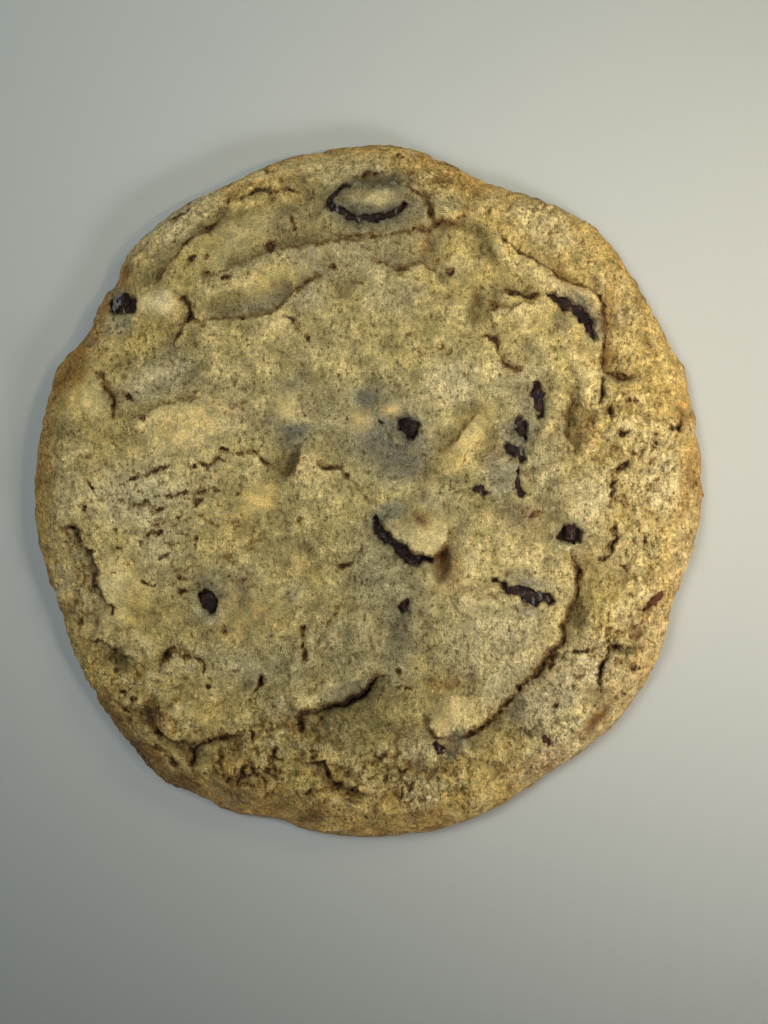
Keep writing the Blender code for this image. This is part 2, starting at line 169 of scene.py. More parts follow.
# Folds, with the high side on the left of the path:
# path, rise, reach of the rise, sink, reach of the sink, crease depth, crease half width,
# softness of the step, lean of the lip over the crease
FOLDS = {
    "plate_edge": (((-5.0, 31.4), (-7.6, 30.2), (-11.3, 27.6), (-13.2, 25.5), (-18.5, 24.6),
                    (-24.8, 24.3)), 0.25, 4.0, 0.1, 2.0, 0.35, 0.6, 0.2, 0.2),
    "upper_left_rim": (((-20.5, 40.0), (-22.5, 37.8), (-25.6, 35.7), (-28.3, 32.8),
                        (-30.3, 29.4)), 0.4, 3.0, 0.15, 2.0, 0.9, 0.75, 0.15, 0.3),
    "rim_branch": (((-28.3, 29.0), (-26.4, 27.6), (-25.0, 25.6), (-26.8, 22.5),
                    (-28.0, 20.6)), 0.2, 3.0, 0.2, 3.0, 1.0, 0.8, 0.15, 0.2),
    "upper_band": (((0.0, 35.7), (-6.0, 35.4), (-9.0, 35.2), (-12.5, 34.6)),
                   0.4, 3.0, 0.3, 2.5, 0.15, 0.6, 0.3, 0.1),
    "top_right_rim": (((8.2, 43.0), (8.7, 41.0), (9.8, 38.6), (11.5, 38.3), (14.0, 39.0)),
                      0.4, 3.0, 0.4, 2.5, 0.3, 0.9, 0.2, 0.2),
    "plate_crest": (((10.3, 30.2), (9.2, 32.0), (7.3, 32.5), (4.5, 31.6), (0.0, 33.3)),
                    0.4, 3.0, 0.45, 2.5, 0.3, 0.7, 0.3, 0.1),
    "right_rim": (((38.8, 16.1), (35.2, 16.4), (33.8, 17.8), (33.6, 20.0), (33.7, 24.0),
                   (33.3, 27.0), (31.2, 29.2), (27.7, 30.4), (23.7, 33.0), (20.2, 35.3),
                   (18.3, 37.5)), 0.4, 3.0, 0.4, 2.0, 0.7, 0.8, 0.2, 0.25),
    "shade_band": (((14.7, 23.0), (15.4, 27.5), (14.8, 31.0)),
                   0.3, 3.0, 0.35, 1.8, 0.05, 0.9, 0.5, 0.1),
    "shelf_edge": (((24.8, 27.2), (22.0, 28.0), (20.3, 28.1), (19.2, 29.6)),
                   0.4, 3.0, 0.3, 2.0, 0.45, 0.7, 0.2, 0.2),
    "inner_hook": (((21.8, 17.7), (19.8, 18.0), (18.2, 20.0), (18.2, 21.6), (16.0, 21.4)),
                   0.4, 2.5, 0.35, 1.6, 0.3, 0.6, 0.2, 0.2),
    "right_pit": (((30.3, 5.2), (28.8, 6.9), (27.9, 9.4), (28.5, 11.2), (28.9, 13.8)),
                  0.5, 3.0, 1.0, 2.0, 0.5, 0.8, 0.2, 0.3),
    "ridge_gutter": (((16.3, 11.8), (14.2, 9.6), (12.2, 7.2), (10.3, 5.2)),
                     0.3, 2.0, 0.4, 2.0, 0.1, 0.8, 0.3, 0.2),
    "split_fold": (((-8.8, 6.5), (-9.6, 4.9), (-11.6, 1.7)),
                   0.5, 2.5, 0.6, 2.5, 0.35, 0.7, 0.2, 0.3),
    "left_lobe_edge": (((-36.5, 10.2), (-36.3, 12.8), (-37.2, 14.5), (-38.3, 16.9),
                        (-39.8, 17.2)), 0.4, 2.5, 0.4, 2.0, 1.1, 1.1, 0.2, 0.2),
    "second_lobe_edge": (((-22.8, 15.6), (-25.0, 13.4), (-29.0, 12.3), (-31.6, 11.2),
                          (-34.3, 9.9)), 0.55, 3.5, 0.4, 2.6, 0.1, 0.8, 0.45, 0.0),
    "left_crack": (((-44.6, -5.1), (-42.0, -5.3), (-40.3, -8.0), (-38.9, -10.5),
                    (-38.6, -13.5), (-36.5, -16.8)), 0.6, 3.0, 0.6, 2.5, 1.1, 0.9, 0.15, 0.3),
    "tongue_left": (((-28.2, -22.0), (-28.8, -23.6), (-29.8, -25.8)),
                    0.3, 2.0, 0.4, 2.0, 1.2, 1.0, 0.15, 0.2),
    "tongue_right": (((-23.3, -26.0), (-23.9, -24.0), (-25.4, -23.5), (-27.0, -21.8)),
                     0.3, 2.0, 0.4, 2.0, 1.1, 0.95, 0.15, 0.2),
    "lower_crevice": (((-10.5, -31.9), (-8.0, -31.0), (-4.5, -30.0), (-1.0, -28.6),
                       (0.7, -26.6), (2.9, -25.8)), 0.8, 4.0, 0.9, 3.5, 1.8, 1.1, 0.12, 0.6),
    "crevice_branch": (((-9.4, -35.0), (-9.8, -33.0), (-10.2, -31.8)),
                       0.2, 2.0, 0.3, 2.0, 1.1, 0.8, 0.15, 0.2),
    "lobe_edge": (((12.6, -35.2), (15.2, -33.9), (17.4, -32.1), (20.3, -28.8), (23.3, -26.4),
                   (24.8, -23.7), (27.2, -21.8), (27.8, -18.4), (29.2, -14.5), (29.4, -11.0),
                   (28.3, -8.4)), 1.0, 4.0, 0.65, 2.4, 1.5, 1.15, 0.15, 0.5),
    "right_lobe_edge": (((32.4, -9.8), (34.4, -8.6), (34.8, -6.0), (35.3, -4.6)),
                        0.5, 2.5, 0.5, 2.0, 1.2, 0.8, 0.12, 0.3),
    "right_crack": (((33.8, -2.9), (34.7, -1.0), (34.8, 2.8), (36.4, 3.6), (37.0, 4.4)),
                    0.2, 2.0, 0.2, 2.0, 0.9, 0.7, 0.15, 0.2),
    "lower_right_rim": (((33.2, -27.3), (32.9, -26.0), (34.0, -23.6), (34.4, -21.9),
                         (36.5, -22.0), (38.2, -22.3)), 0.5, 2.5, 0.6, 2.0, 1.1, 0.85, 0.2, 0.2),
    "bottom_crack": (((-9.2, -38.7), (-7.6, -38.4), (-5.6, -39.9), (-4.4, -42.0),
                      (-1.5, -42.9), (1.0, -43.0)), 0.4, 2.5, 0.4, 2.5, 1.1, 0.8, 0.15, 0.2),
    "bottom_left_crack": (((-24.7, -41.6), (-25.0, -39.8), (-25.2, -36.9), (-22.5, -35.5),
                           (-18.0, -34.2)), 0.3, 2.5, 0.3, 2.5, 0.9, 0.8, 0.15, 0.2),
    "flap_edge": (((-40.2, -21.0), (-37.2, -22.0), (-35.0, -23.4), (-33.8, -25.3)),
                  0.6, 3.0, 0.7, 2.5, 0.3, 0.6, 0.15, 0.3),
    "low_lobe_edge": (((-31.4, -30.0), (-30.4, -32.5), (-29.2, -34.8), (-27.0, -35.8),
                       (-24.0, -35.7)), 0.5, 3.0, 0.6, 2.5, 0.6, 0.7, 0.15, 0.2),
    "band_top": (((-6.0, 35.3), (-10.0, 35.0), (-13.6, 34.2), (-16.5, 33.0), (-20.0, 31.6),
                  (-24.0, 29.6)), 0.45, 2.5, 0.15, 2.0, 0.15, 0.6, 0.5, 0.0),
    "shelf_top": (((24.6, 27.0), (22.2, 26.9), (20.4, 25.9), (18.8, 26.2), (17.1, 26.8)),
                  0.45, 2.0, 0.35, 1.8, 0.2, 0.5, 0.2, 0.2),
    "shelf_side": (((17.1, 26.8), (17.8, 24.6), (18.2, 22.4)),
                   0.35, 2.0, 0.3, 1.6, 0.1, 0.5, 0.3, 0.1),
    "nose_edge": (((8.4, -31.5), (8.7, -33.4), (10.0, -34.9), (12.2, -34.4)),
                  0.6, 2.5, 0.6, 2.0, 0.3, 0.6, 0.2, 0.3),
    "knob_edge": (((1.4, -3.6), (3.0, -6.0), (5.6, -8.0), (8.0, -9.0), (10.4, -8.6),
                   (11.4, -6.4), (11.3, -4.0)), 0.7, 2.0, 0.7, 1.8, 0.2, 0.5, 0.2, 0.4),
    "ridge_foot": (((17.0, 10.6), (16.0, 8.4), (14.8, 6.0), (12.9, 3.2), (11.2, 3.6)),
                   -0.3, 1.6, -0.35, 1.6, 0.0, 0.6, 0.3, 0.0),
    "arc_left": (((-13.6, 3.6), (-16.0, 4.9), (-18.5, 5.5), (-22.0, 5.4)),
                 0.25, 2.0, 0.2, 2.0, 0.35, 0.5, 0.2, 0.2),
}

# Broad valleys and ridges: path, half width, height
RIBS = {
    "valley_by_lobe": (((-24.8, 23.0), (-27.4, 18.6), (-30.0, 15.6), (-34.0, 13.2)), 1.9, -0.4),
    "band_foot": (((-24.0, 26.2), (-18.0, 26.6), (-13.0, 28.0), (-9.0, 31.4)), 1.5, -0.35),
    "band_crest": (((-25.0, 28.4), (-19.0, 30.4), (-13.0, 32.6), (-7.0, 34.4)), 1.9, 0.2),
    "second_lobe_band": (((-32.0, 12.9), (-28.0, 14.0), (-24.0, 15.8), (-21.5, 18.2)), 1.2, 0.4),
    "upper_left_edge": (((-36.0, 31.4), (-31.0, 36.8), (-25.0, 41.2), (-17.0, 45.0),
                         (-9.0, 47.2)), 1.7, 0.45),
    "top_right_valley": (((13.8, 39.0), (15.6, 36.5), (17.2, 34.0), (19.0, 32.2)), 1.2, -0.7),
    "top_streak": (((9.5, 37.6), (8.8, 35.4), (8.5, 33.4)), 1.2, -0.4),
    "lid": (((18.0, 35.4), (21.0, 32.9), (24.5, 30.8), (28.5, 29.0), (31.6, 27.4),
             (33.0, 24.6), (33.0, 21.6)), 1.1, 0.7),
    "streak_a": (((25.8, 19.4), (27.2, 15.6), (26.8, 11.4)), 0.8, 0.45),
    "streak_b": (((28.6, 20.4), (30.6, 16.4), (30.7, 12.8)), 0.9, 0.45),
    "streak_c": (((31.4, 19.6), (32.4, 16.0)), 0.7, 0.3),
    "film_ridge_a": (((24.2, -0.4), (24.8, 2.2), (26.8, 4.8)), 0.9, 0.55),
    "film_ridge_b": (((23.8, 6.4), (25.2, 8.6), (25.9, 11.4)), 0.8, 0.45),
    "film_ridge_c": (((19.5, 11.6), (21.8, 13.8), (22.4, 16.4)), 0.9, 0.35),
    "lobe_crest": (((18.6, -7.4), (22.0, -8.4), (25.2, -8.0)), 0.8, 0.4),
    "lobe_crest_b": (((11.8, -14.8), (15.0, -15.6), (18.4, -15.4)), 1.0, 0.45),
    "lobe_crest_c": (((13.0, -6.4), (14.6, -9.4), (14.0, -12.6)), 1.1, 0.45),
    "lobe_border": (((26.4, -6.8), (28.2, -11.0), (27.6, -15.0), (26.0, -19.0), (22.6, -22.6),
                     (18.6, -26.6), (13.6, -31.4)), 1.5, 0.45),
    "left_outer_rim": (((-45.4, -3.0), (-43.6, -11.0), (-40.6, -18.6)), 1.8, 0.3),
    "left_trough": (((-40.0, -18.4), (-38.6, -20.4)), 1.2, -0.4),
    "right_granules": (((36.6, 14.6), (39.8, 12.4), (42.6, 12.6)), 1.0, 0.4),
    "right_granules_b": (((35.4, 10.2), (38.8, 10.0)), 0.9, 0.35),
    "plate_swell": (((-18.0, 23.2), (-13.0, 23.4), (-9.0, 26.8), (-5.4, 29.6)), 1.8, 0.4),
}

# Windows over the chips: points with their half widths, then the depth below the dough
WINDOWS = {
    "chip_top": (((-2.8, 43.9, 0.25), (-4.4, 42.8, 0.4), (-5.4, 41.5, 0.5), (-4.8, 40.5, 0.5),
                  (-3.3, 39.6, 0.55), (-1.6, 38.9, 0.6), (1.0, 39.1, 0.6), (3.8, 39.9, 0.55),
                  (5.3, 41.3, 0.3)), 1.5),
    "chip_left_rim": (((-36.4, 26.8, 1.1), (-34.4, 26.8, 1.5)), 1.6),
    "chip_under_lid": (((25.9, 27.8, 0.35), (27.2, 27.3, 0.6), (29.5, 26.0, 0.75),
                        (31.2, 24.3, 0.7), (31.8, 22.8, 0.45), (32.1, 21.7, 0.2)), 1.7),
    "chip_tall_slot": (((23.9, 15.1, 0.7), (24.2, 13.6, 0.95), (24.2, 12.2, 0.6),
                        (24.7, 10.7, 0.35)), 1.5),
    "chip_leaf": (((21.0, 10.3, 0.35), (21.8, 9.2, 0.8), (22.3, 7.7, 0.5)), 1.2),
    "chip_film_upper": (((19.8, 6.2, 0.6), (21.2, 5.6, 0.9), (21.8, 4.5, 0.5)), 1.1),
    "chip_film_lower": (((15.4, 0.5, 0.65), (16.3, 0.1, 0.7)), 1.1),
    "chip_film_right": (((21.3, 4.0, 0.12), (21.3, 1.6, 0.3), (21.6, -0.5, 0.6)), 1.0),
    "chip_centre": (((5.1, 9.6, 0.9), (6.1, 9.3, 1.3), (6.3, 8.1, 0.8)), 1.4),
    "chip_centre_flecks": (((1.8, 9.9, 0.25), (2.2, 9.7, 0.2)), 0.6),
    "chip_under_knob": (((1.2, -3.4, 0.25), (1.1, -4.6, 0.5), (2.2, -6.2, 0.7),
                         (4.2, -7.6, 0.75), (5.8, -9.0, 0.85), (6.6, -9.8, 0.9),
                         (7.5, -9.4, 0.5), (8.7, -9.5, 0.6)), 1.9),
    "chip_small_low": (((5.4, -15.6, 0.4), (5.1, -16.7, 0.6)), 1.0),
    "chip_long_slot": (((17.9, -12.8, 0.3), (19.6, -13.5, 0.4), (21.5, -14.2, 0.8),
                        (23.8, -15.1, 0.95), (26.0, -15.6, 0.5)), 1.4),
    "chip_right": (((28.3, -6.0, 1.3), (29.2, -6.1, 1.4)), 1.6),
    "chip_left": (((-23.0, -14.9, 0.9), (-22.3, -15.9, 1.1), (-22.0, -16.8, 0.6)), 1.5),
    "chip_under_nose": (((9.8, -35.7, 0.5), (10.4, -37.0, 0.6)), 1.2),
    "chip_in_crevice": (((-5.4, -30.5, 0.3), (-3.0, -29.8, 0.65), (-0.6, -28.6, 0.5),
                         (0.4, -27.4, 0.3)), 1.2),
    "chip_lower_rim": (((25.2, -35.3, 0.4), (25.9, -35.9, 0.5)), 0.9),
    "chip_right_rim": (((39.9, -16.7, 0.35), (41.0, -15.7, 0.6), (42.1, -14.8, 0.3)), 0.8),
}

# Cracks: half width, depth, then the points they run through
CRACKS = {
    "upper_left": (
        (0.5, 0.7, ((-25.0, 25.6), (-24.8, 24.3), (-22.0, 24.4))),
        (0.35, 0.5, ((-18.3, 41.5), (-16.5, 42.8), (-15.0, 43.3), (-12.5, 43.0))),
        (0.3, 0.4, ((-10.8, 39.8), (-10.5, 38.2), (-11.2, 36.8))),
        (0.35, 0.5, ((-14.8, 46.0), (-13.8, 46.6))),
        (0.3, 0.4, ((-12.0, 25.2), (-10.2, 24.2), (-10.0, 22.5))),
        (0.3, 0.35, ((-8.7, 23.5), (-8.5, 20.5))),
        (0.3, 0.3, ((-3.0, 30.2), (-2.2, 29.6), (-0.8, 29.4))),
    ),
    "rim_cracks": (
        (0.4, 0.5, ((-29.0, 38.7), (-27.0, 40.0), (-25.0, 41.2), (-22.5, 43.0),
                    (-19.5, 44.8))),
        (0.45, 0.6, ((-21.6, 39.0), (-20.4, 40.8), (-20.1, 42.4))),
        (0.4, 0.6, ((-12.5, 43.2), (-10.4, 43.0), (-9.4, 42.7))),
        (0.35, 0.5, ((14.5, 21.8), (17.8, 21.6), (18.4, 20.5), (18.3, 19.6), (19.2, 18.2),
                     (20.5, 17.6), (22.3, 17.3))),
        (0.4, 0.6, ((19.4, 29.2), (20.5, 28.3), (22.6, 28.0), (24.6, 27.8))),
        (0.35, 0.4, ((-23.4, 31.4), (-21.0, 30.4), (-19.6, 30.6))),
        (0.3, 0.4, ((-14.8, 46.5), (-13.4, 46.2))),
    ),
    "top": (
        (0.42, 0.7, ((-5.0, 36.7), (-3.0, 36.6), (0.0, 36.4), (3.0, 36.8), (6.0, 37.3),
                     (9.7, 38.0), (12.0, 38.8), (14.4, 39.8))),
        (0.42, 0.6, ((5.5, 44.4), (6.3, 43.4), (7.8, 42.2), (8.6, 40.8), (9.0, 39.2),
                     (9.8, 38.1))),
        (0.55, 0.8, ((-1.2, 45.2), (1.0, 45.5), (3.2, 45.0))),
        (0.3, 0.4, ((14.7, 43.2), (15.9, 42.4))),
        (0.3, 0.3, ((3.8, 48.2), (6.0, 47.8))),
    ),
    "right": (
        (0.35, 0.6, ((33.6, 15.2), (33.4, 13.0), (33.3, 12.6))),
        (0.35, 0.7, ((43.0, 9.6), (44.2, 9.3), (45.0, 8.7))),
        (0.25, 0.4, ((40.7, 8.7), (41.3, 8.2))),
        (0.3, 0.4, ((38.4, 7.9), (37.6, 7.5))),
        (0.35, 0.6, ((35.2, -4.7), (35.1, -5.5), (34.5, -6.3))),
        (0.25, 0.4, ((36.0, -10.7), (37.0, -11.2), (37.7, -12.0))),
        (0.3, 0.5, ((30.0, -22.4), (28.8, -22.6))),
        (0.3, 0.4, ((38.2, 1.1), (37.4, 0.2))),
        (0.3, 0.4, ((39.4, 2.2), (38.6, 1.5))),
        (0.3, 0.4, ((36.8, -1.4), (36.4, -2.7))),
        (0.3, 0.4, ((16.8, 27.0), (18.0, 26.4), (19.5, 26.0))),
    ),
    "middle": (
        (0.25, 0.35, ((5.0, 22.2), (6.2, 22.4), (7.3, 22.9))),
        (0.25, 0.3, ((10.2, 20.3), (11.0, 21.3))),
        (0.35, 0.5, ((-7.3, 4.5), (-5.7, 3.3), (-4.3, 3.3), (-3.0, 2.6), (-2.7, 1.8))),
        (0.25, 0.4, ((-1.0, 0.5), (-0.5, -0.3), (0.0, -1.5))),
        (0.3, 0.4, ((10.7, -1.7), (10.7, -2.9))),
        (0.3, 0.5, ((11.5, -5.2), (11.4, -6.8))),
        (0.35, 0.5, ((-5.0, -10.5), (-3.5, -10.6), (-2.5, -10.0), (-2.0, -8.8),
                     (-0.8, -8.2))),
        (0.3, 0.4, ((-4.0, -16.0), (-4.5, -16.8), (-5.0, -17.5))),
        (0.55, 0.8, ((-8.7, -19.2), (-9.2, -19.5), (-9.3, -21.0), (-9.2, -22.0),
                     (-8.8, -23.0), (-9.2, -24.5))),
        (0.3, 0.4, ((3.6, -27.7), (6.0, -28.0))),
        (0.3, 0.4, ((4.3, -24.8), (4.2, -26.0))),
    ),
    "left_chain": (
        (0.35, 0.5, ((-24.0, 4.3), (-22.5, 3.9), (-21.0, 4.6), (-19.6, 4.2))),
        (0.3, 0.5, ((-28.2, 5.0), (-26.8, 5.2))),
        (0.35, 0.5, ((-18.7, 6.4), (-18.0, 7.3))),
        (0.35, 0.5, ((-17.6, 5.5), (-16.4, 5.7), (-15.3, 4.9), (-13.8, 4.0), (-12.8, 3.5))),
        (0.3, 0.4, ((-18.3, 1.3), (-17.0, 1.9))),
        (0.35, 0.5, ((-33.1, 10.3), (-32.0, 10.5), (-31.4, 11.3))),
        (0.35, 0.5, ((-24.9, -2.5), (-24.0, -1.4), (-23.6, -0.8))),
        (0.3, 0.4, ((-36.2, -5.1), (-35.2, -5.6), (-34.0, -5.4))),
        (0.3, 0.4, ((-40.6, 2.0), (-39.6, 0.9), (-39.0, -0.3))),
        (0.3, 0.5, ((-45.3, 5.7), (-44.7, 5.1))),
        (0.3, 0.4, ((-20.6, -19.0), (-20.0, -20.2))),
        (0.3, 0.4, ((-27.4, -12.2), (-26.0, -12.6), (-24.6, -12.4))),
        (0.4, 0.6, ((-41.8, -16.0), (-40.9, -15.8), (-41.2, -17.0), (-40.2, -17.8))),
        (0.4, 0.6, ((-37.6, -15.4), (-36.4, -16.8), (-37.2, -18.2))),
        (0.5, 0.7, ((-25.4, -36.2), (-25.2, -37.4), (-25.5, -38.8))),
        (0.45, 0.6, ((-29.8, -37.4), (-28.0, -38.8), (-26.6, -40.6), (-24.2, -42.6))),
        (0.45, 0.6, ((-19.4, -42.0), (-18.0, -40.4), (-17.8, -38.6))),
        (0.4, 0.5, ((-34.2, -1.0), (-33.0, -1.8), (-31.4, -1.6), (-30.4, -2.6), (-28.6, -2.4))),
        (0.4, 0.5, ((-31.8, -6.2), (-30.4, -5.8), (-29.0, -6.2))),
        (0.3, 0.4, ((-32.4, -13.0), (-31.0, -13.3), (-29.8, -13.0))),
    ),
    "left": (
        (0.3, 0.4, ((-18.7, 15.9), (-18.7, 15.1))),
        (0.25, 0.4, ((-21.5, 6.0), (-20.0, 6.0))),
        (0.25, 0.4, ((-17.5, 5.4), (-19.0, 5.2))),
        (0.3, 0.5, ((-25.0, 0.0), (-22.8, 0.2), (-20.7, 0.0))),
        (0.3, 0.4, ((-18.5, 0.0), (-19.0, -1.0))),
        (0.4, 0.6, ((-34.8, 13.8), (-33.3, 13.0))),
        (0.35, 0.6, ((-35.0, 1.0), (-34.0, 1.5), (-33.0, 2.2), (-32.0, 2.3), (-31.0, 2.6),
                     (-29.0, 3.2), (-28.0, 3.8))),
        (0.3, 0.5, ((-41.0, 5.0), (-40.0, 4.9), (-39.3, 5.2))),
        (0.3, 0.4, ((-40.9, -2.2), (-39.7, -2.2))),
        (0.3, 0.5, ((-35.8, -1.0), (-34.8, -1.8))),
        (0.35, 0.5, ((-30.5, -0.5), (-28.5, -0.8), (-26.5, -0.6), (-25.3, 0.0))),
        (0.3, 0.4, ((-34.0, -1.3), (-33.0, -1.3))),
        (0.3, 0.5, ((-32.0, -2.0), (-30.0, -2.7))),
        (0.3, 0.4, ((-27.5, -3.5), (-26.0, -3.2))),
        (0.25, 0.3, ((-32.5, -4.5), (-29.0, -4.6))),
        (0.3, 0.4, ((-36.5, -8.2), (-35.8, -8.1), (-34.3, -7.8))),
        (0.3, 0.4, ((-30.0, -9.7), (-29.2, -9.3), (-28.3, -8.9))),
        (0.3, 0.4, ((-36.3, -11.7), (-35.3, -11.5))),
        (0.25, 0.3, ((-24.0, -6.0), (-24.3, -8.3))),
    ),
    "lower_left": (
        (0.35, 0.6, ((-40.8, -15.8), (-40.5, -16.8), (-39.8, -17.7))),
        (0.3, 0.5, ((-41.5, -17.5), (-41.5, -19.8))),
        (0.3, 0.4, ((-28.3, -13.5), (-27.2, -13.0))),
        (0.3, 0.5, ((-26.0, -15.3), (-25.0, -16.5))),
        (0.3, 0.4, ((-24.0, -18.7), (-23.6, -19.0))),
        (0.3, 0.5, ((-15.2, -25.9), (-15.0, -26.7), (-15.2, -27.0), (-15.8, -28.0),
                    (-16.8, -28.8), (-16.5, -30.0))),
        (0.3, 0.4, ((-16.3, -34.5), (-16.8, -35.8))),
        (0.3, 0.4, ((-25.0, -37.0), (-24.3, -37.0))),
        (0.3, 0.4, ((-21.3, -37.2), (-21.3, -38.8))),
        (0.35, 0.5, ((-18.6, -40.0), (-19.5, -41.0), (-21.0, -42.0))),
    ),
    "lower_blocks": (
        (0.35, 0.6, ((-22.9, -25.3), (-21.4, -25.2), (-19.8, -25.5), (-18.4, -25.4))),
        (0.3, 0.5, ((-36.8, -30.0), (-34.8, -31.4), (-33.6, -33.4))),
        (0.35, 0.6, ((-21.0, -36.9), (-21.4, -39.0), (-20.6, -40.4))),
        (0.35, 0.6, ((-13.0, -36.2), (-13.6, -38.6), (-12.6, -40.4))),
        (0.35, 0.6, ((-17.4, -38.2), (-16.6, -40.2), (-17.6, -42.0))),
        (0.35, 0.6, ((-5.4, -39.8), (-5.0, -41.2), (-4.3, -42.2))),
        (0.3, 0.5, ((-30.6, -36.2), (-28.6, -37.6), (-27.6, -39.4))),
        (0.3, 0.5, ((2.6, -36.4), (2.0, -38.4), (3.2, -40.0))),
        (0.35, 0.6, ((34.4, -17.2), (34.1, -19.4), (34.3, -21.6))),
        (0.35, 0.6, ((28.4, -22.7), (30.0, -22.4), (31.6, -23.0), (32.6, -23.3))),
        (0.3, 0.5, ((37.4, -26.0), (38.6, -25.2), (39.8, -25.4))),
        (0.3, 0.5, ((36.0, -28.4), (37.4, -29.0), (38.2, -30.4))),
        (0.35, 0.6, ((33.3, 15.4), (33.5, 14.0), (33.2, 12.4))),
        (0.3, 0.5, ((36.4, 12.4), (37.8, 13.2), (39.2, 12.8))),
        (0.3, 0.5, ((40.2, 5.6), (41.2, 6.6), (41.0, 8.0))),
        (0.35, 0.6, ((35.4, 3.1), (36.4, 3.6), (37.1, 4.4))),
        (0.3, 0.5, ((35.8, -1.0), (36.6, -2.6), (36.2, -4.0))),
        (0.3, 0.5, ((38.2, -5.2), (39.4, -6.4), (39.0, -8.0))),
    ),
    "bottom": (
        (0.3, 0.5, ((-14.0, -30.0), (-13.0, -30.8))),
        (0.3, 0.4, ((-7.0, -32.0), (-6.5, -32.8))),
        (0.3, 0.4, ((-4.2, -33.3), (-4.0, -34.0))),
        (0.3, 0.4, ((-8.0, -37.0), (-8.0, -38.0))),
        (0.3, 0.5, ((-8.7, -43.5), (-7.8, -42.6))),
        (0.35, 0.5, ((-13.5, -36.5), (-14.0, -38.5))),
        (0.3, 0.4, ((6.0, -42.5), (6.5, -41.7))),
        (0.35, 0.5, ((20.0, -35.5), (20.6, -36.1))),
        (0.3, 0.4, ((22.3, -38.0), (23.5, -37.5))),
    ),
    "right_side": (
        (0.5, 0.8, ((34.4, 16.4), (35.2, 16.6))),
        (0.45, 0.7, ((37.0, 16.8), (38.3, 16.1))),
        (0.35, 0.5, ((33.6, 16.2), (33.5, 14.4), (33.4, 12.7))),
        (0.5, 0.8, ((35.0, 3.4), (35.8, 3.2), (36.7, 4.0), (37.2, 4.3))),
        (0.35, 0.5, ((37.5, 5.2), (38.7, 5.4))),
        (0.5, 0.8, ((34.4, 2.2), (34.6, 0.5), (34.4, -1.1), (34.2, -2.3))),
        (0.4, 0.6, ((35.6, -1.1), (36.5, -2.3))),
        (0.65, 0.9, ((35.4, -4.4), (35.0, -5.4), (34.8, -7.0), (34.4, -8.2), (33.2, -9.4),
                     (32.6, -9.6))),
        (0.4, 0.5, ((36.0, 8.7), (37.1, 8.3))),
        (0.55, 0.8, ((43.1, 9.3), (44.7, 8.7))),
        (0.4, 0.6, ((44.3, 11.5), (45.6, 10.8))),
        (0.35, 0.5, ((22.7, -3.6), (23.6, -3.1), (24.8, -3.2))),
        (0.45, 0.6, ((18.4, -13.2), (20.0, -13.4))),
    ),
    "bottom_side": (
        (0.4, 0.6, ((-7.9, -36.2), (-8.0, -37.2))),
        (0.45, 0.7, ((6.2, -42.4), (6.7, -41.8))),
        (0.3, 0.5, ((4.6, -43.2), (4.7, -44.6))),
        (0.5, 0.8, ((-7.8, -43.0), (-8.5, -44.4))),
        (0.3, 0.5, ((2.2, -41.6), (2.8, -40.6))),
        (0.35, 0.6, ((-4.2, -33.2), (-4.0, -34.2))),
        (0.3, 0.5, ((4.1, -24.8), (4.2, -26.0))),
        (0.35, 0.5, ((5.3, -19.0), (5.3, -20.2))),
        (0.45, 0.7, ((-16.6, -33.8), (-16.4, -35.0))),
        (0.35, 0.5, ((9.8, -39.9), (10.1, -42.0))),
        (0.4, 0.5, ((-13.6, -37.2), (-12.8, -38.4))),
    ),
    "middle_chains": (
        (0.4, 0.6, ((-8.9, 6.5), (-7.5, 5.8))),
        (0.35, 0.5, ((-7.2, 4.0), (-5.6, 3.4), (-3.5, 3.1), (-2.7, 1.7), (-1.0, 0.3), (0.1, -1.5))),
        (0.4, 0.6, ((-0.6, -6.7), (-1.1, -8.3), (-2.0, -8.8), (-2.4, -10.2), (-3.8, -10.7),
                    (-4.6, -10.4))),
        (0.3, 0.4, ((-9.9, -3.3), (-9.3, -4.7))),
        (0.9, 0.6, ((10.5, -8.8), (10.7, -10.2), (10.4, -11.8))),
        (0.3, 0.4, ((-15.6, -4.4), (-14.8, -5.2))),
    ),
    "lower_left_blocks": (
        (0.5, 0.8, ((-27.8, -21.8), (-28.4, -22.8), (-28.8, -24.6), (-29.6, -25.5))),
        (0.5, 0.8, ((-27.0, -21.9), (-26.3, -23.0), (-25.3, -23.6), (-23.8, -24.1),
                    (-23.1, -25.4))),
        (0.55, 0.8, ((-31.2, -31.0), (-30.8, -32.8), (-29.8, -35.0))),
        (0.4, 0.6, ((-20.5, -37.6), (-21.4, -38.9))),
        (0.4, 0.6, ((-15.6, -40.5), (-14.6, -41.3))),
        (0.4, 0.6, ((-14.3, -42.8), (-14.4, -44.2))),
        (0.4, 0.6, ((-15.5, -28.6), (-16.8, -30.2))),
        (0.35, 0.5, ((-41.4, -17.4), (-41.6, -19.4))),
    ),
    "lower_right_blocks": (
        (0.55, 0.8, ((34.5, -22.2), (36.2, -22.0), (37.9, -22.2))),
        (0.4, 0.6, ((34.0, -17.5), (34.3, -19.4), (34.4, -21.1))),
        (0.45, 0.7, ((33.6, -23.7), (33.1, -26.8), (33.6, -29.2))),
        (0.55, 0.6, ((20.3, -29.1), (23.3, -26.7), (24.8, -24.1), (27.2, -22.1))),
        (0.35, 0.4, ((14.6, -34.4), (17.4, -32.4), (20.3, -29.1))),
    ),
}

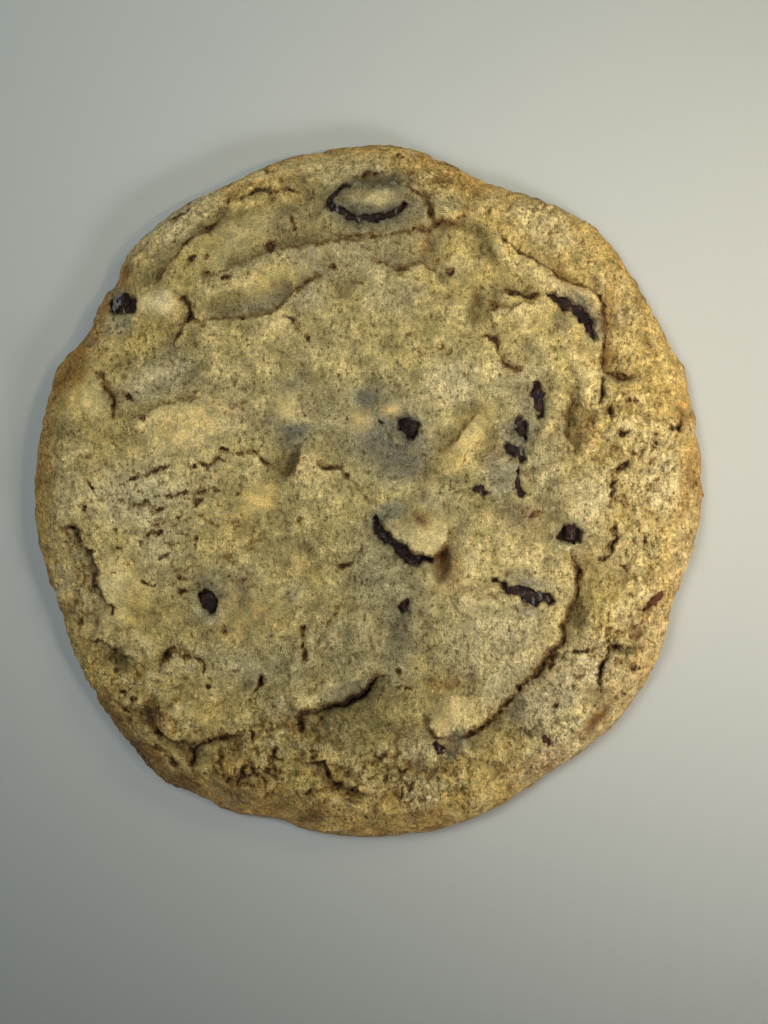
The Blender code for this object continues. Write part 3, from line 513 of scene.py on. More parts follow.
# Pits: middle x, y, half length, half width, heading, depth
PITS = (
    (-34.2, 13.5, 1.1, 0.5, -25, 1.0), (-20.4, 6.0, 0.9, 0.4, 8, 0.7),
    (-40.2, -2.1, 0.4, 0.6, 0, 0.5), (44.4, 9.0, 1.1, 0.5, -20, 0.9),
    (36.0, 16.7, 1.6, 0.6, -8, 0.9), (-15.0, -27.0, 0.5, 1.1, 0, 0.8),
    (-30.0, -34.4, 0.9, 0.7, 0, 0.9), (-28.9, -9.4, 1.0, 0.4, 30, 0.6),
    (26.0, -24.2, 1.5, 0.7, 55, 0.9), (-4.3, -42.0, 1.2, 0.8, -30, 0.9),
    (-7.0, -38.5, 1.6, 0.6, -10, 0.8), (33.4, -25.2, 1.6, 0.6, 70, 0.9),
    (34.8, -7.2, 1.0, 0.5, 60, 0.8), (34.7, 1.0, 0.5, 1.0, 0, 0.7), (-9.6, -33.0, 0.8, 1.6, 0, 0.9),
    (-25.1, -38.0, 0.6, 1.6, 0, 0.8), (-20.5, -35.2, 1.8, 0.5, 12, 0.7),
    (-16.4, -34.8, 0.5, 1.0, -20, 0.7), (-13.3, -37.4, 0.5, 1.0, 0, 0.6),
    (6.3, -42.2, 0.5, 1.0, -30, 0.6), (-8.2, -43.0, 0.6, 1.0, -40, 0.6),
    (-26.5, 27.7, 0.9, 0.7, 0, 1.0), (-25.0, 33.5, 0.6, 0.5, 0, 0.7),
    (-23.0, 33.4, 0.6, 0.5, 0, 0.6), (-13.7, 34.9, 1.1, 0.7, 80, 0.9),
    (-4.8, 31.9, 0.8, 0.7, 0, 0.7), (9.0, 40.2, 0.8, 0.5, 80, 0.8), (11.8, 31.2, 0.8, 0.6, 0, 0.6),
    (34.4, 11.5, 0.9, 0.7, 70, 1.0), (32.3, 10.8, 0.4, 0.35, 0, 0.5),
    (31.9, 10.3, 0.3, 0.3, 0, 0.4), (26.6, -30.6, 0.6, 0.5, 0, 0.7),
    (-24.7, -1.3, 0.6, 0.5, 0, 0.6), (-24.8, 4.0, 0.5, 0.4, 0, 0.5),
    (-2.9, 10.2, 0.5, 0.3, 80, 0.5), (-39.8, -8.5, 0.9, 0.6, -40, 1.0),
    (-26.3, -14.0, 0.7, 0.5, 0, 0.6), (-24.3, -13.4, 0.4, 0.4, 0, 0.5),
    (-17.5, -12.8, 0.7, 0.35, 30, 0.5), (-36.0, -25.5, 0.6, 0.5, 0, 0.7),
    (-35.0, -28.8, 0.7, 0.5, 0, 0.7), (-33.7, -29.4, 0.5, 0.5, 0, 0.7),
    (-29.8, -34.5, 0.6, 0.5, 0, 0.7), (-22.8, -27.7, 0.5, 0.5, 0, 0.6),
    (-15.0, -26.7, 0.7, 0.5, 80, 0.7), (-16.8, -34.0, 0.5, 0.4, 0, 0.6),
    (-16.0, -40.5, 0.6, 0.5, 0, 0.7), (44.6, 9.4, 1.0, 0.6, 10, 0.7), (36.3, 8.5, 0.9, 0.7, 0, 0.6),
)

# Where the dough's colour differs: middle x, y, half length, half width, heading, strength
# Browned crust, and painted shade beside the right rim's crease and the right pit
CRUST_AND_PAINTED_SHADE = (
    (-42.0, 17.2, 2.0, 3.0, -20, 0.9), (12.0, -11.5, 1.6, 3.0, -8, 0.6),
    (-44.6, 15.6, 1.7, 3.2, -14, 0.9), (-42.4, 19.2, 1.7, 3.6, -28, 0.9),
    (-35.4, 31.6, 1.3, 3.6, -38, 0.85), (-38.6, 26.8, 1.0, 3.4, -20, 0.6),
    (-47.0, 3.0, 0.8, 8.0, 0, 0.5), (44.8, 10.8, 1.0, 2.2, 15, 0.6), (46.6, 3.0, 0.7, 4.0, 0, 0.5),
    (32.6, -33.0, 3.2, 1.1, 50, 1.0), (8.0, -46.4, 5.0, 1.2, 8, 0.5),
    (-6.0, -45.6, 3.0, 1.2, 0, 0.5), (26.0, -40.0, 4.0, 1.0, 38, 0.35),
    (34.5, 26.0, 0.9, 3.6, -6, 0.6), (34.3, 20.0, 0.7, 3.4, 0, 0.5),
    (28.2, 30.6, 4.0, 0.9, -33, 0.45), (7.4, -4.1, 1.4, 1.0, 0, 0.6),
    (-42.0, -30.0, 1.0, 5.0, 30, 0.6), (-45.6, -16.0, 0.8, 6.0, 12, 0.45),
    (11.0, -27.2, 2.6, 1.0, 5, 0.3), (35.0, 41.0, 2.0, 0.8, -40, 0.3),
    (14.6, 40.8, 1.0, 0.8, 0, 0.6), (8.4, 35.0, 0.7, 2.0, 0, 0.4), (31.2, 8.6, 1.8, 2.4, 0, 0.5),
    (41.0, -15.8, 1.8, 1.0, 40, 0.8), (40.4, -17.8, 1.6, 1.2, 0, 0.5),
    (-46.4, 6.0, 1.2, 9.0, 0, 0.6), (-40.4, 22.6, 1.3, 5.0, -32, 0.7),
    (24.0, -38.8, 4.0, 0.9, 25, 0.5), (45.4, -1.0, 1.0, 4.0, 0, 0.6),
    (34.6, 27.0, 1.1, 4.0, -4, 0.6), (-19.0, -40.0, 3.6, 2.0, -10, 0.4),
    (-13.0, -43.0, 3.6, 1.6, -10, 0.4), (3.0, -43.6, 3.0, 1.0, 0, 0.35),
)
HONEY = (
    (13.0, 6.2, 5.0, 1.8, 53, 0.4), (12.4, 4.8, 2.0, 1.5, 53, 0.75), (-0.8, 9.8, 1.6, 1.5, 0, 0.55),
    (3.3, 11.6, 1.3, 1.0, 20, 0.7), (-16.5, -1.6, 2.4, 1.4, 30, 0.6),
    (-11.8, 12.0, 1.6, 1.4, 0, 0.5), (0.8, 41.9, 3.2, 1.1, -3, 0.75),
    (-16.0, -1.0, 3.0, 2.0, 10, 0.4), (10.6, -31.0, 3.2, 2.2, 72, 0.4),
    (-17.0, -17.5, 5.0, 3.6, 0, 0.1), (-27.0, 9.0, 4.2, 3.0, 15, 0.3),
    (-40.6, 13.4, 3.2, 3.0, 60, 0.6), (-35.0, -15.0, 4.6, 5.0, 0, 0.5),
    (-24.5, -30.0, 4.6, 3.2, 10, 0.25), (-23.0, 20.5, 1.6, 3.4, 10, 0.25),
    (-29.3, 27.2, 2.2, 2.0, 0, 0.6), (35.5, -25.0, 2.2, 3.0, 0, 0.5),
    (-20.0, -7.0, 5.0, 3.0, 20, 0.35), (31.0, 34.5, 13.0, 4.8, -48, 0.95),
    (42.0, 17.0, 8.0, 4.0, -70, 0.7), (44.5, -4.0, 3.4, 11.0, 0, 0.7),
    (21.5, 35.8, 5.0, 2.6, -38, 0.8), (38.0, -6.0, 3.6, 5.0, 0, 0.5),
    (24.0, -41.5, 10.0, 2.4, 33, 0.7), (-24.0, 3.0, 7.0, 3.4, 10, 0.45),
    (-29.5, 37.0, 8.0, 2.2, 43, 0.6), (-38.0, -8.0, 4.0, 9.0, 12, 0.45),
    (-32.0, 37.0, 9.0, 2.6, 45, 0.5), (-45.4, 0.0, 2.4, 12.0, 0, 0.55),
    (-40.0, -22.0, 9.0, 3.4, -62, 0.7), (12.0, -45.5, 11.0, 2.4, 8, 0.7),
    (-8.0, -44.5, 9.0, 3.0, -8, 0.5), (34.0, -35.0, 10.0, 3.0, 45, 0.7),
    (44.0, 9.0, 2.2, 2.2, 0, 0.5), (-5.0, 47.6, 8.0, 1.6, 4, 0.35),
)
TOASTED = (
    (-22.5, 10.5, 5.0, 3.0, 10, 0.8), (-12.0, 12.0, 2.2, 1.9, 0, 0.6),
    (-15.0, -1.0, 3.0, 2.2, 20, 0.7), (-27.5, 8.0, 4.5, 3.2, 20, 0.8),
    (-18.0, -17.0, 5.0, 4.0, 0, 0.85), (-14.0, -19.0, 2.5, 1.8, 30, 0.6),
    (-28.5, 9.0, 4.5, 2.6, 15, 0.6), (10.6, -29.0, 2.6, 2.2, 75, 0.8),
    (10.3, -27.5, 1.6, 1.2, 0, 0.9), (13.6, 7.2, 5.0, 1.8, 53, 0.8), (-1.2, 10.0, 2.2, 1.9, 0, 0.8),
    (3.3, 11.7, 1.5, 1.3, 0, 0.8), (32.2, -33.0, 2.6, 1.4, 45, 0.8),
    (-29.0, 27.0, 2.6, 2.2, 0, 0.5), (-33.0, 5.0, 5.0, 3.0, 30, 0.2),
    (-39.0, -14.0, 4.0, 8.0, 10, 0.3), (46.8, 4.0, 2.2, 8.0, 0, 0.8),
    (45.0, 14.0, 2.4, 7.0, 20, 0.5), (38.0, 27.0, 8.0, 4.0, -40, 0.4),
    (20.0, 43.0, 10.0, 3.5, -28, 0.4), (-10.0, 44.5, 4.0, 1.8, 10, 0.5),
    (14.0, 40.8, 1.3, 1.0, 0, 0.6), (8.0, 46.5, 1.5, 1.0, 0, 0.6), (-8.0, 5.0, 1.8, 1.2, 60, 0.6),
    (2.0, -32.0, 1.2, 0.9, 0, 0.6), (-30.0, -36.0, 9.0, 5.0, -40, 0.5),
    (-4.0, -46.5, 12.0, 2.5, 0, 0.5), (30.0, 36.0, 10.0, 4.0, -48, 0.3),
    (41.0, 23.0, 7.0, 3.5, -62, 0.6), (44.5, -8.0, 2.5, 9.0, 0, 0.6),
    (41.0, -22.0, 3.0, 6.0, -25, 0.5), (30.0, -38.0, 8.0, 3.0, 45, 0.5),
    (12.0, -46.5, 9.0, 2.6, 10, 0.7), (-30.5, 39.0, 6.0, 2.2, 42, 0.5),
    (-40.5, 25.0, 4.5, 2.0, 62, 0.5), (-45.5, 3.0, 2.2, 9.0, 0, 0.3),
    (-20.0, 10.0, 4.0, 2.2, 20, 0.6), (-9.5, -11.0, 4.0, 3.0, 0, 0.4),
    (-21.0, -3.0, 5.0, 3.0, 0, 0.4), (-35.5, -17.0, 3.6, 3.6, 0, 0.5),
)
GOLDEN = (
    (9.3, -6.0, 2.2, 2.4, 0, 0.4), (10.8, -32.0, 2.4, 2.0, 75, 0.4),
    (14.3, 8.4, 3.6, 1.0, 53, 0.15), (21.0, 25.0, 4.2, 1.8, -10, 0.15),
    (19.0, -9.0, 6.0, 5.0, 60, 0.5), (-12.4, 34.1, 1.3, 1.0, 0, 0.6),
    (-3.3, 34.6, 1.3, 1.0, 0, 0.6), (43.7, 8.4, 1.2, 0.8, 20, 0.8), (33.0, -2.5, 2.5, 3.5, 80, 0.5),
    (-29.2, 27.2, 1.8, 1.6, 0, 0.6), (-40.8, 13.4, 2.4, 2.2, 60, 0.4),
    (42.0, 0.0, 4.0, 12.0, 0, 0.6), (-20.0, -8.0, 5.0, 4.0, 20, 0.4),
    (2.5, 42.3, 2.2, 0.9, 10, 0.7), (-3.0, 10.3, 2.2, 1.5, 0, 0.4),
    (40.0, -12.0, 4.0, 7.0, 15, 0.5), (27.0, 37.6, 10.0, 4.0, -45, 1.0),
    (39.5, 22.0, 8.0, 3.6, -60, 0.7), (32.0, -24.6, 4.2, 3.6, 30, 1.0),
    (28.0, -37.5, 7.0, 3.0, 45, 0.7), (-28.0, 38.2, 8.5, 3.2, 42, 1.0),
    (-43.5, 0.0, 3.0, 10.0, 0, 0.8), (-27.0, 8.5, 6.0, 4.0, 15, 0.5),
    (-38.0, 13.0, 3.5, 4.0, 60, 0.6), (15.0, -15.0, 4.0, 2.2, 0, 0.6),
    (18.0, -22.0, 5.0, 4.0, 50, 0.4), (37.0, -30.0, 3.0, 4.0, -30, 0.5),
    (-4.0, 47.0, 7.0, 2.0, 0, 0.5), (12.0, -32.0, 3.0, 2.4, 60, 0.6),
    (22.0, -9.0, 5.0, 3.5, 30, 0.3),
)
# Lighter dough, partly painted light: highlights and the brighter sides that face the lamps
PALE_AND_PAINTED_LIGHT = (
    (-33.0, -0.5, 9.0, 5.0, 10, 0.85), (-24.0, 2.5, 4.0, 2.5, 0, 0.45),
    (-30.0, 16.0, 5.5, 2.8, 25, 0.6), (-20.0, 14.0, 4.0, 5.0, 0, 0.3),
    (28.0, -28.0, 6.5, 4.5, 60, 0.85), (38.0, -19.0, 3.0, 3.0, 0, 0.5),
    (18.0, -22.0, 6.0, 5.0, 0, 0.35), (31.0, -1.0, 3.0, 4.0, 0, 0.45),
    (24.0, 37.0, 5.5, 3.0, -35, 0.3), (35.0, 28.0, 3.0, 5.0, 30, 0.45),
    (-40.0, -14.0, 4.0, 8.0, 10, 0.35), (7.0, -37.0, 3.0, 3.0, 0, 0.5),
    (37.0, -8.0, 4.0, 4.0, 0, 0.4), (24.0, 19.0, 3.0, 3.0, 0, 0.35), (9.6, -5.8, 1.6, 1.8, 0, 0.15),
    (-22.0, -24.0, 6.0, 2.5, -10, 0.35), (11.5, 15.5, 4.0, 3.0, 0, 0.35),
    (-7.0, 20.0, 6.0, 4.0, 0, 0.15), (12.5, -9.0, 3.0, 6.0, 0, 0.3), (41.0, 3.0, 4.0, 7.0, 0, 0.5),
    (-24.0, 3.0, 7.0, 3.4, 10, 0.35), (-30.0, -7.5, 3.6, 6.0, 0, 0.6),
    (19.0, 2.5, 2.4, 3.4, 0, 0.25), (12.0, 15.5, 4.0, 3.2, 0, 0.9), (-19.0, 10.5, 3.6, 4.0, 0, 0.4),
    (31.0, -34.5, 10.0, 3.4, 45, 0.7), (36.5, -28.0, 5.0, 4.0, 40, 0.5),
    (32.0, -1.0, 3.0, 4.0, 0, 0.4), (7.5, -42.0, 3.0, 3.0, 0, 0.6),
    (-38.0, -14.0, 3.5, 8.0, 8, 0.4), (19.0, -20.0, 4.0, 4.0, 0, 0.5),
    (23.0, -9.6, 3.4, 2.4, 0, 0.2), (41.5, -20.0, 3.0, 6.0, -20, 0.5),
    (39.5, -19.5, 3.0, 3.4, 0, 0.6), (46.0, -8.0, 2.5, 9.0, 0, 0.5),
    (40.0, -30.0, 3.0, 5.0, -30, 0.5), (2.4, 42.0, 2.0, 0.8, 10, 0.3),
    (31.0, -22.0, 3.0, 3.5, 0, 0.4), (-29.2, 27.2, 2.2, 2.0, 0, 0.8), (0.8, 41.8, 3.4, 1.2, 0, 0.4),
    (-28.0, 38.4, 8.0, 3.0, 42, 0.8), (-38.0, 23.0, 3.0, 3.0, 0, 0.3),
    (-43.0, 0.0, 2.8, 10.0, 0, 0.4), (-5.0, 46.8, 9.0, 1.8, 4, 0.45),
    (26.0, -38.0, 5.5, 2.8, 42, 1.0), (32.0, -25.0, 4.4, 3.6, 30, 1.0),
    (42.0, 2.0, 4.0, 6.0, 0, 0.7), (26.0, 38.0, 6.0, 3.4, -40, 0.65),
    (-25.0, 17.0, 2.0, 3.0, 0, 0.3),
)
BLEED = (
    (2.6, 44.7, 4.6, 1.1, -6, 1.0), (-5.2, 41.6, 1.6, 2.6, 0, 0.7), (6.6, 41.0, 1.6, 3.2, 20, 0.7),
    (-6.6, 31.2, 3.4, 2.2, 40, 0.6), (28.0, 24.0, 1.6, 1.4, 0, 0.6), (11.8, 31.2, 1.4, 1.3, 0, 0.6),
    (0.0, 34.0, 8.0, 4.5, 0, 0.5), (-8.0, 28.0, 4.0, 2.2, 40, 0.5), (4.0, 28.0, 4.5, 3.0, 0, 0.4),
    (4.0, -22.0, 2.4, 6.5, 0, 0.6), (16.0, -21.0, 7.0, 7.0, 30, 0.3),
    (4.6, -15.0, 4.6, 7.0, 0, 0.5), (-11.8, 10.5, 3.4, 3.6, 0, 0.5), (9.6, -1.4, 3.0, 1.6, 0, 0.4),
    (3.4, 7.2, 3.6, 2.8, -20, 0.95), (0.0, 13.2, 3.0, 1.9, -8, 0.85),
    (-10.4, 8.4, 3.0, 1.8, 10, 0.85), (-10.3, 15.3, 1.8, 1.4, 0, 0.6),
    (5.0, -20.0, 2.6, 4.4, 0, 0.75), (20.0, -27.0, 4.4, 2.8, 45, 0.55),
    (-1.0, 14.0, 3.0, 2.0, 0, 0.4), (21.5, -3.0, 3.0, 1.8, 0, 0.5), (19.0, 15.0, 1.8, 2.5, 0, 0.4),
    (26.2, 6.0, 1.8, 2.4, 0, 0.4), (29.0, 27.2, 3.4, 1.6, -38, 0.45),
    (10.5, 41.0, 4.0, 1.3, 0, 0.4), (-19.0, 34.0, 4.0, 2.0, 20, 0.3),
    (22.0, -20.0, 4.0, 3.0, 30, 0.35), (-12.5, -30.2, 2.2, 1.2, -20, 0.5),
    (-10.0, 8.0, 2.6, 3.0, 0, 0.4), (4.5, 6.0, 4.5, 5.5, 0, 0.9), (5.6, 10.5, 1.8, 1.5, 0, 1.0),
    (0.5, 12.5, 3.5, 4.0, 0, 0.5), (-10.0, 15.0, 3.0, 2.0, 0, 0.4),
    (-29.5, 14.8, 5.5, 2.0, 10, 0.5), (-35.0, 24.2, 2.2, 1.4, 0, 0.7),
    (-36.0, 27.0, 2.8, 2.4, 0, 0.7), (3.0, -3.0, 3.2, 1.6, 20, 0.8), (1.5, -6.0, 3.0, 3.0, 0, 0.5),
    (4.0, -10.5, 3.5, 2.0, -30, 0.4), (19.2, 2.2, 2.8, 3.6, 0, 0.8),
    (23.0, 12.8, 3.0, 5.0, 10, 0.6), (21.5, 8.5, 3.0, 3.0, 0, 0.7),
    (23.0, -12.8, 4.0, 1.2, -15, 0.7), (23.0, -17.0, 3.0, 1.5, -15, 0.6),
    (29.0, -6.2, 3.2, 2.8, 0, 0.5), (-22.4, -14.2, 2.4, 2.6, 0, 0.7),
    (21.5, -31.0, 2.2, 2.6, 0, 0.8), (13.0, -35.5, 2.5, 1.6, -40, 0.7),
    (11.8, -37.0, 1.4, 1.6, 0, 0.9), (-3.0, -28.5, 3.5, 1.5, 25, 0.7),
    (-10.5, -14.2, 1.2, 1.6, 0, 0.5), (0.3, 41.3, 7.8, 5.2, 0, 1.0), (2.0, 37.6, 6.0, 1.2, 0, 0.6),
    (-15.0, 33.6, 7.0, 1.8, 22, 0.45), (-21.0, 24.8, 3.0, 1.2, 5, 0.4),
    (-8.5, 33.6, 2.6, 2.4, 0, 0.6), (31.6, -1.0, 2.6, 3.4, 0, 0.35),
    (-22.4, -17.4, 2.4, 1.6, 0, 0.7), (30.6, 27.2, 3.6, 1.8, -38, 0.75),
    (32.4, 24.0, 1.6, 3.4, 0, 0.7), (-12.0, 10.0, 3.0, 4.0, 0, 0.4),
    (-15.0, 26.8, 4.0, 1.3, 20, 0.5), (29.8, 27.2, 4.4, 1.8, -35, 0.5),
    (32.6, 24.0, 1.6, 3.0, 0, 0.4), (5.2, -16.2, 2.0, 2.0, 0, 0.5), (10.8, 0.0, 3.5, 3.0, 0, 0.3),
    (25.6, -36.6, 1.6, 1.2, 0, 0.4), (11.8, 31.2, 2.0, 1.6, 0, 0.4), (2.5, 8.6, 7.0, 6.8, 0, 0.75),
    (-6.0, 11.0, 6.0, 4.5, 0, 0.4), (1.5, -12.0, 4.5, 8.0, 0, 0.5), (-2.0, -22.0, 6.5, 5.0, 0, 0.4),
    (-14.0, -25.0, 6.0, 3.5, 10, 0.45), (-20.0, -14.0, 5.0, 5.0, 0, 0.35),
    (25.0, -31.0, 6.0, 3.6, 45, 0.45), (-30.0, 17.0, 7.0, 3.0, 15, 0.35),
    (0.0, 36.5, 12.0, 1.8, 0, 0.45), (-13.0, 38.5, 7.0, 2.4, 10, 0.4),
    (25.5, 2.0, 3.0, 7.0, 0, 0.35), (24.0, 33.5, 5.0, 1.6, -38, 0.3),
)
# Olive, moister dough, and painted shade in soft bands beside folds, creases and pits
OLIVE_AND_PAINTED_SHADE = (
    (33.8, 23.0, 0.9, 5.0, 0, 0.45), (28.0, 31.0, 4.0, 1.2, -35, 0.35),
    (-10.0, 44.0, 2.4, 2.0, 0, 0.35), (3.0, -30.0, 3.0, 3.5, 0, 0.4),
    (-36.5, 12.0, 3.6, 1.6, -50, 0.4), (11.0, 41.4, 3.6, 1.0, 0, 0.4),
    (-31.0, 22.0, 1.2, 4.0, 10, 0.3), (-24.0, -37.6, 2.5, 2.0, 0, 0.4),
    (-43.0, 9.0, 3.0, 1.4, -20, 0.5), (9.4, -30.0, 1.8, 3.4, 0, 0.4),
    (14.4, 8.4, 3.4, 1.3, 53, 0.32), (9.3, -6.0, 2.2, 2.4, 0, 0.2),
    (21.0, 25.0, 4.0, 2.4, -10, 0.14), (-30.0, 30.6, 2.6, 2.2, 0, 0.7),
    (-17.0, 33.6, 5.0, 2.4, 25, 0.5), (5.0, -20.0, 2.6, 4.2, 0, 0.35),
    (-18.0, -17.0, 4.4, 3.4, 0, 0.2), (-25.0, -28.0, 3.4, 3.0, 0, 0.2),
    (14.5, 35.0, 1.4, 3.0, 20, 0.35), (-22.0, 35.4, 4.0, 1.8, 30, 0.3),
    (29.4, -17.0, 1.4, 2.6, 10, 0.85), (-12.0, 3.8, 2.4, 1.8, 50, 0.5),
    (1.4, 44.8, 4.4, 0.8, -4, 0.6), (0.3, 41.3, 8.0, 5.4, 0, 0.3), (-6.4, 41.6, 0.9, 2.2, 0, 0.5),
    (28.7, 9.7, 0.9, 2.9, 4, 0.95), (-35.3, -23.7, 2.0, 1.6, -40, 0.7),
    (1.5, -27.8, 2.2, 2.0, 40, 0.6), (10.4, 6.4, 2.2, 1.1, 53, 0.55),
    (-26.3, -14.0, 0.9, 0.7, 0, 0.8), (25.0, -25.0, 3.0, 1.6, 50, 0.6),
    (10.3, 38.0, 1.4, 1.0, 0, 0.8), (15.2, 26.6, 0.9, 3.7, 0, 0.85),
    (-31.0, -31.8, 1.4, 1.1, 0, 0.6), (34.2, 19.0, 1.0, 4.0, 0, 0.4),
    (33.5, -5.0, 1.0, 2.0, 0, 0.3), (30.6, -15.0, 1.2, 4.0, 0, 0.3),
    (29.5, -20.5, 1.6, 2.4, 0, 0.5), (-1.0, -33.0, 6.5, 4.2, 0, 0.7),
    (17.0, 33.5, 1.8, 4.0, 30, 0.4), (-20.0, 27.5, 6.0, 1.6, 5, 0.35),
    (-6.0, 37.3, 8.0, 1.2, 0, 0.35), (-11.5, -37.0, 3.5, 3.0, 0, 0.3),
    (33.3, -29.0, 1.6, 3.0, 0, 0.4), (20.5, -32.0, 4.0, 1.6, 48, 0.4),
    (2.0, -40.0, 7.0, 2.4, 0, 0.3), (22.5, 20.0, 3.0, 1.4, -30, 0.4),
    (1.5, -29.5, 2.6, 2.4, 30, 0.55), (10.6, -37.4, 1.6, 1.0, -60, 0.3),
    (36.5, -22.4, 2.6, 0.8, -5, 0.7), (18.0, -34.0, 5.0, 1.2, 45, 0.4),
    (-21.0, 38.2, 2.4, 0.7, 30, 0.5), (35.0, 16.2, 2.4, 0.8, 0, 0.6),
    (-8.5, 35.9, 7.0, 0.6, 3, 0.5),
)
BROWN_SPOTS = (
    (10.5, -10.2, 1.1, 2.5, -8, 1.0), (-19.0, -43.0, 4.0, 2.4, -15, 0.75),
    (-12.0, -45.4, 4.0, 1.6, -10, 0.6), (9.2, -27.1, 0.8, 0.6, 0, 0.7),
    (10.8, -27.8, 0.7, 0.5, 0, 0.7), (12.4, -27.3, 0.6, 0.5, 0, 0.6),
    (20.0, -3.6, 4.5, 1.0, -12, 0.35), (-8.0, -46.6, 0.9, 1.5, 0, 0.9),
    (21.6, -2.6, 2.0, 0.9, -15, 0.6), (7.4, -4.1, 1.3, 0.9, 0, 0.95),
    (32.8, -32.8, 2.4, 0.9, 48, 0.8), (45.3, 10.6, 0.7, 1.6, 20, 0.6),
    (46.4, 2.6, 0.6, 1.6, 0, 0.5), (24.0, -40.6, 1.6, 0.8, 35, 0.4),
    (7.0, -46.4, 2.4, 0.9, 10, 0.5), (-25.0, -38.2, 1.0, 2.2, 0, 0.5),
    (-20.6, -35.3, 2.2, 0.7, 12, 0.5), (-30.6, -33.0, 0.9, 2.4, 15, 0.6),
    (-34.7, 31.2, 1.0, 1.0, 0, 0.5), (-43.2, 17.6, 0.8, 1.6, -20, 0.5),
    (-32.5, -38.0, 3.5, 2.2, -45, 1.0), (-27.0, -42.0, 4.5, 1.8, -28, 0.8),
    (-38.0, -32.0, 3.5, 1.8, -55, 0.8), (-9.0, -47.2, 1.2, 0.8, 0, 0.9),
    (33.4, -32.6, 1.6, 0.8, 45, 0.6), (-2.5, -46.0, 0.7, 0.5, 0, 0.7),
    (-1.8, -48.2, 0.7, 0.5, 0, 0.7), (-39.3, 21.5, 0.6, 0.5, 0, 0.7),
    (-34.8, 31.3, 0.8, 0.8, 0, 0.7), (13.3, -13.8, 0.7, 0.5, 0, 0.6),
    (9.4, -14.5, 0.6, 0.4, 0, 0.6), (-11.5, -5.8, 0.7, 0.5, 0, 0.6),
    (24.0, -2.9, 1.1, 0.5, -10, 0.7), (22.7, -3.7, 0.5, 0.4, 0, 0.6),
    (26.5, -4.5, 0.6, 0.4, 0, 0.6), (18.0, 7.0, 0.5, 0.9, 0, 0.6), (18.3, 5.0, 0.5, 0.8, 0, 0.6),
    (23.8, 8.6, 0.5, 0.4, 0, 0.8), (11.3, 16.0, 0.5, 0.4, 0, 0.5), (12.8, 15.3, 0.5, 0.4, 0, 0.5),
    (17.2, 13.8, 0.5, 0.4, 0, 0.5), (24.3, 18.7, 0.5, 0.4, 0, 0.6), (26.5, 20.3, 0.5, 0.4, 0, 0.6),
    (26.8, 38.5, 0.6, 0.5, 0, 0.6), (24.5, 36.0, 0.6, 0.5, 0, 0.6), (27.5, 32.0, 0.6, 0.5, 0, 0.6),
    (32.5, 29.8, 0.9, 0.6, -30, 0.7), (33.6, 24.5, 0.5, 0.9, 0, 0.8),
    (27.5, 23.5, 0.5, 0.4, 0, 0.6), (28.3, 23.2, 0.5, 0.4, 0, 0.6), (38.7, -20.7, 0.8, 0.6, 0, 0.7),
    (34.0, -31.0, 0.7, 0.5, 0, 0.6), (33.4, -28.3, 0.6, 0.5, 0, 0.6),
    (26.4, -36.4, 0.9, 0.6, -30, 0.8), (9.0, 40.2, 0.5, 0.8, 0, 1.0),
    (-28.3, 32.5, 0.7, 0.5, 50, 0.8), (-23.5, 37.3, 1.0, 0.5, 45, 0.7),
    (-31.2, -11.1, 1.1, 0.5, 20, 0.7), (-15.0, -26.7, 0.5, 0.8, 0, 0.7),
    (-24.0, -35.6, 1.2, 0.5, 0, 0.7), (-20.0, -35.0, 1.2, 0.5, 15, 0.7),
    (-4.7, 13.3, 0.4, 0.3, 0, 0.6), (8.7, 36.0, 1.2, 0.8, 0, 0.5), (8.5, 34.5, 0.8, 0.6, 0, 0.5),
    (-30.3, -34.0, 0.9, 0.7, 0, 0.6), (44.4, 11.5, 0.6, 0.4, 0, 0.6),
    (34.4, 11.5, 0.8, 0.8, 0, 0.9), (36.3, 8.5, 0.8, 0.7, 0, 0.7), (-13.7, 34.9, 0.7, 1.0, 0, 0.9),
    (-5.8, 40.8, 0.7, 0.6, 0, 0.8), (-3.4, 41.6, 0.7, 0.5, 0, 0.6),
)
CRUMBLY = (
    (41.0, 0.0, 6.0, 26.0, 0, 1.0), (38.0, 24.0, 5.0, 12.0, 32, 0.8),
    (24.0, 38.5, 10.0, 4.5, -32, 0.8), (6.0, 45.0, 12.0, 3.5, 0, 0.8),
    (-16.0, 43.5, 9.0, 3.0, 18, 0.7), (-29.0, 36.5, 6.0, 3.0, 45, 0.6),
    (36.0, -22.0, 5.0, 12.0, -25, 1.0), (25.0, -36.5, 11.0, 5.0, 32, 0.9),
    (4.0, -41.5, 16.0, 7.0, 0, 1.0), (-13.0, -36.0, 9.0, 7.0, 20, 1.0),
    (-27.0, -31.0, 8.0, 6.0, -40, 1.0), (-36.0, -24.0, 5.0, 8.0, 30, 0.9),
    (-42.0, -10.0, 4.5, 12.0, 12, 0.8), (-43.5, 8.0, 4.0, 12.0, 0, 0.5),
    (30.0, -27.0, 6.0, 6.0, 0, 0.7), (35.0, 8.0, 4.0, 9.0, 0, 0.9),
    (-38.0, 24.0, 4.0, 5.0, -30, 0.6), (31.0, 12.0, 4.0, 5.0, 0, 0.6),
)
CRACKED = (
    (-14.0, -38.5, 10.0, 6.0, 12, 1.0), (-31.0, -34.0, 8.0, 4.0, -42, 0.8),
    (3.0, -41.5, 13.0, 5.0, 5, 0.85), (24.0, -38.5, 9.0, 3.0, 35, 0.3),
    (36.0, -24.0, 4.0, 6.0, -20, 0.25), (38.0, 4.0, 3.6, 8.0, 0, 0.25),
    (-40.5, -10.0, 3.0, 9.0, 10, 0.3), (10.0, 45.0, 5.0, 2.4, -8, 0.4),
    (-22.0, -29.0, 6.0, 3.0, 0, 0.25),
)
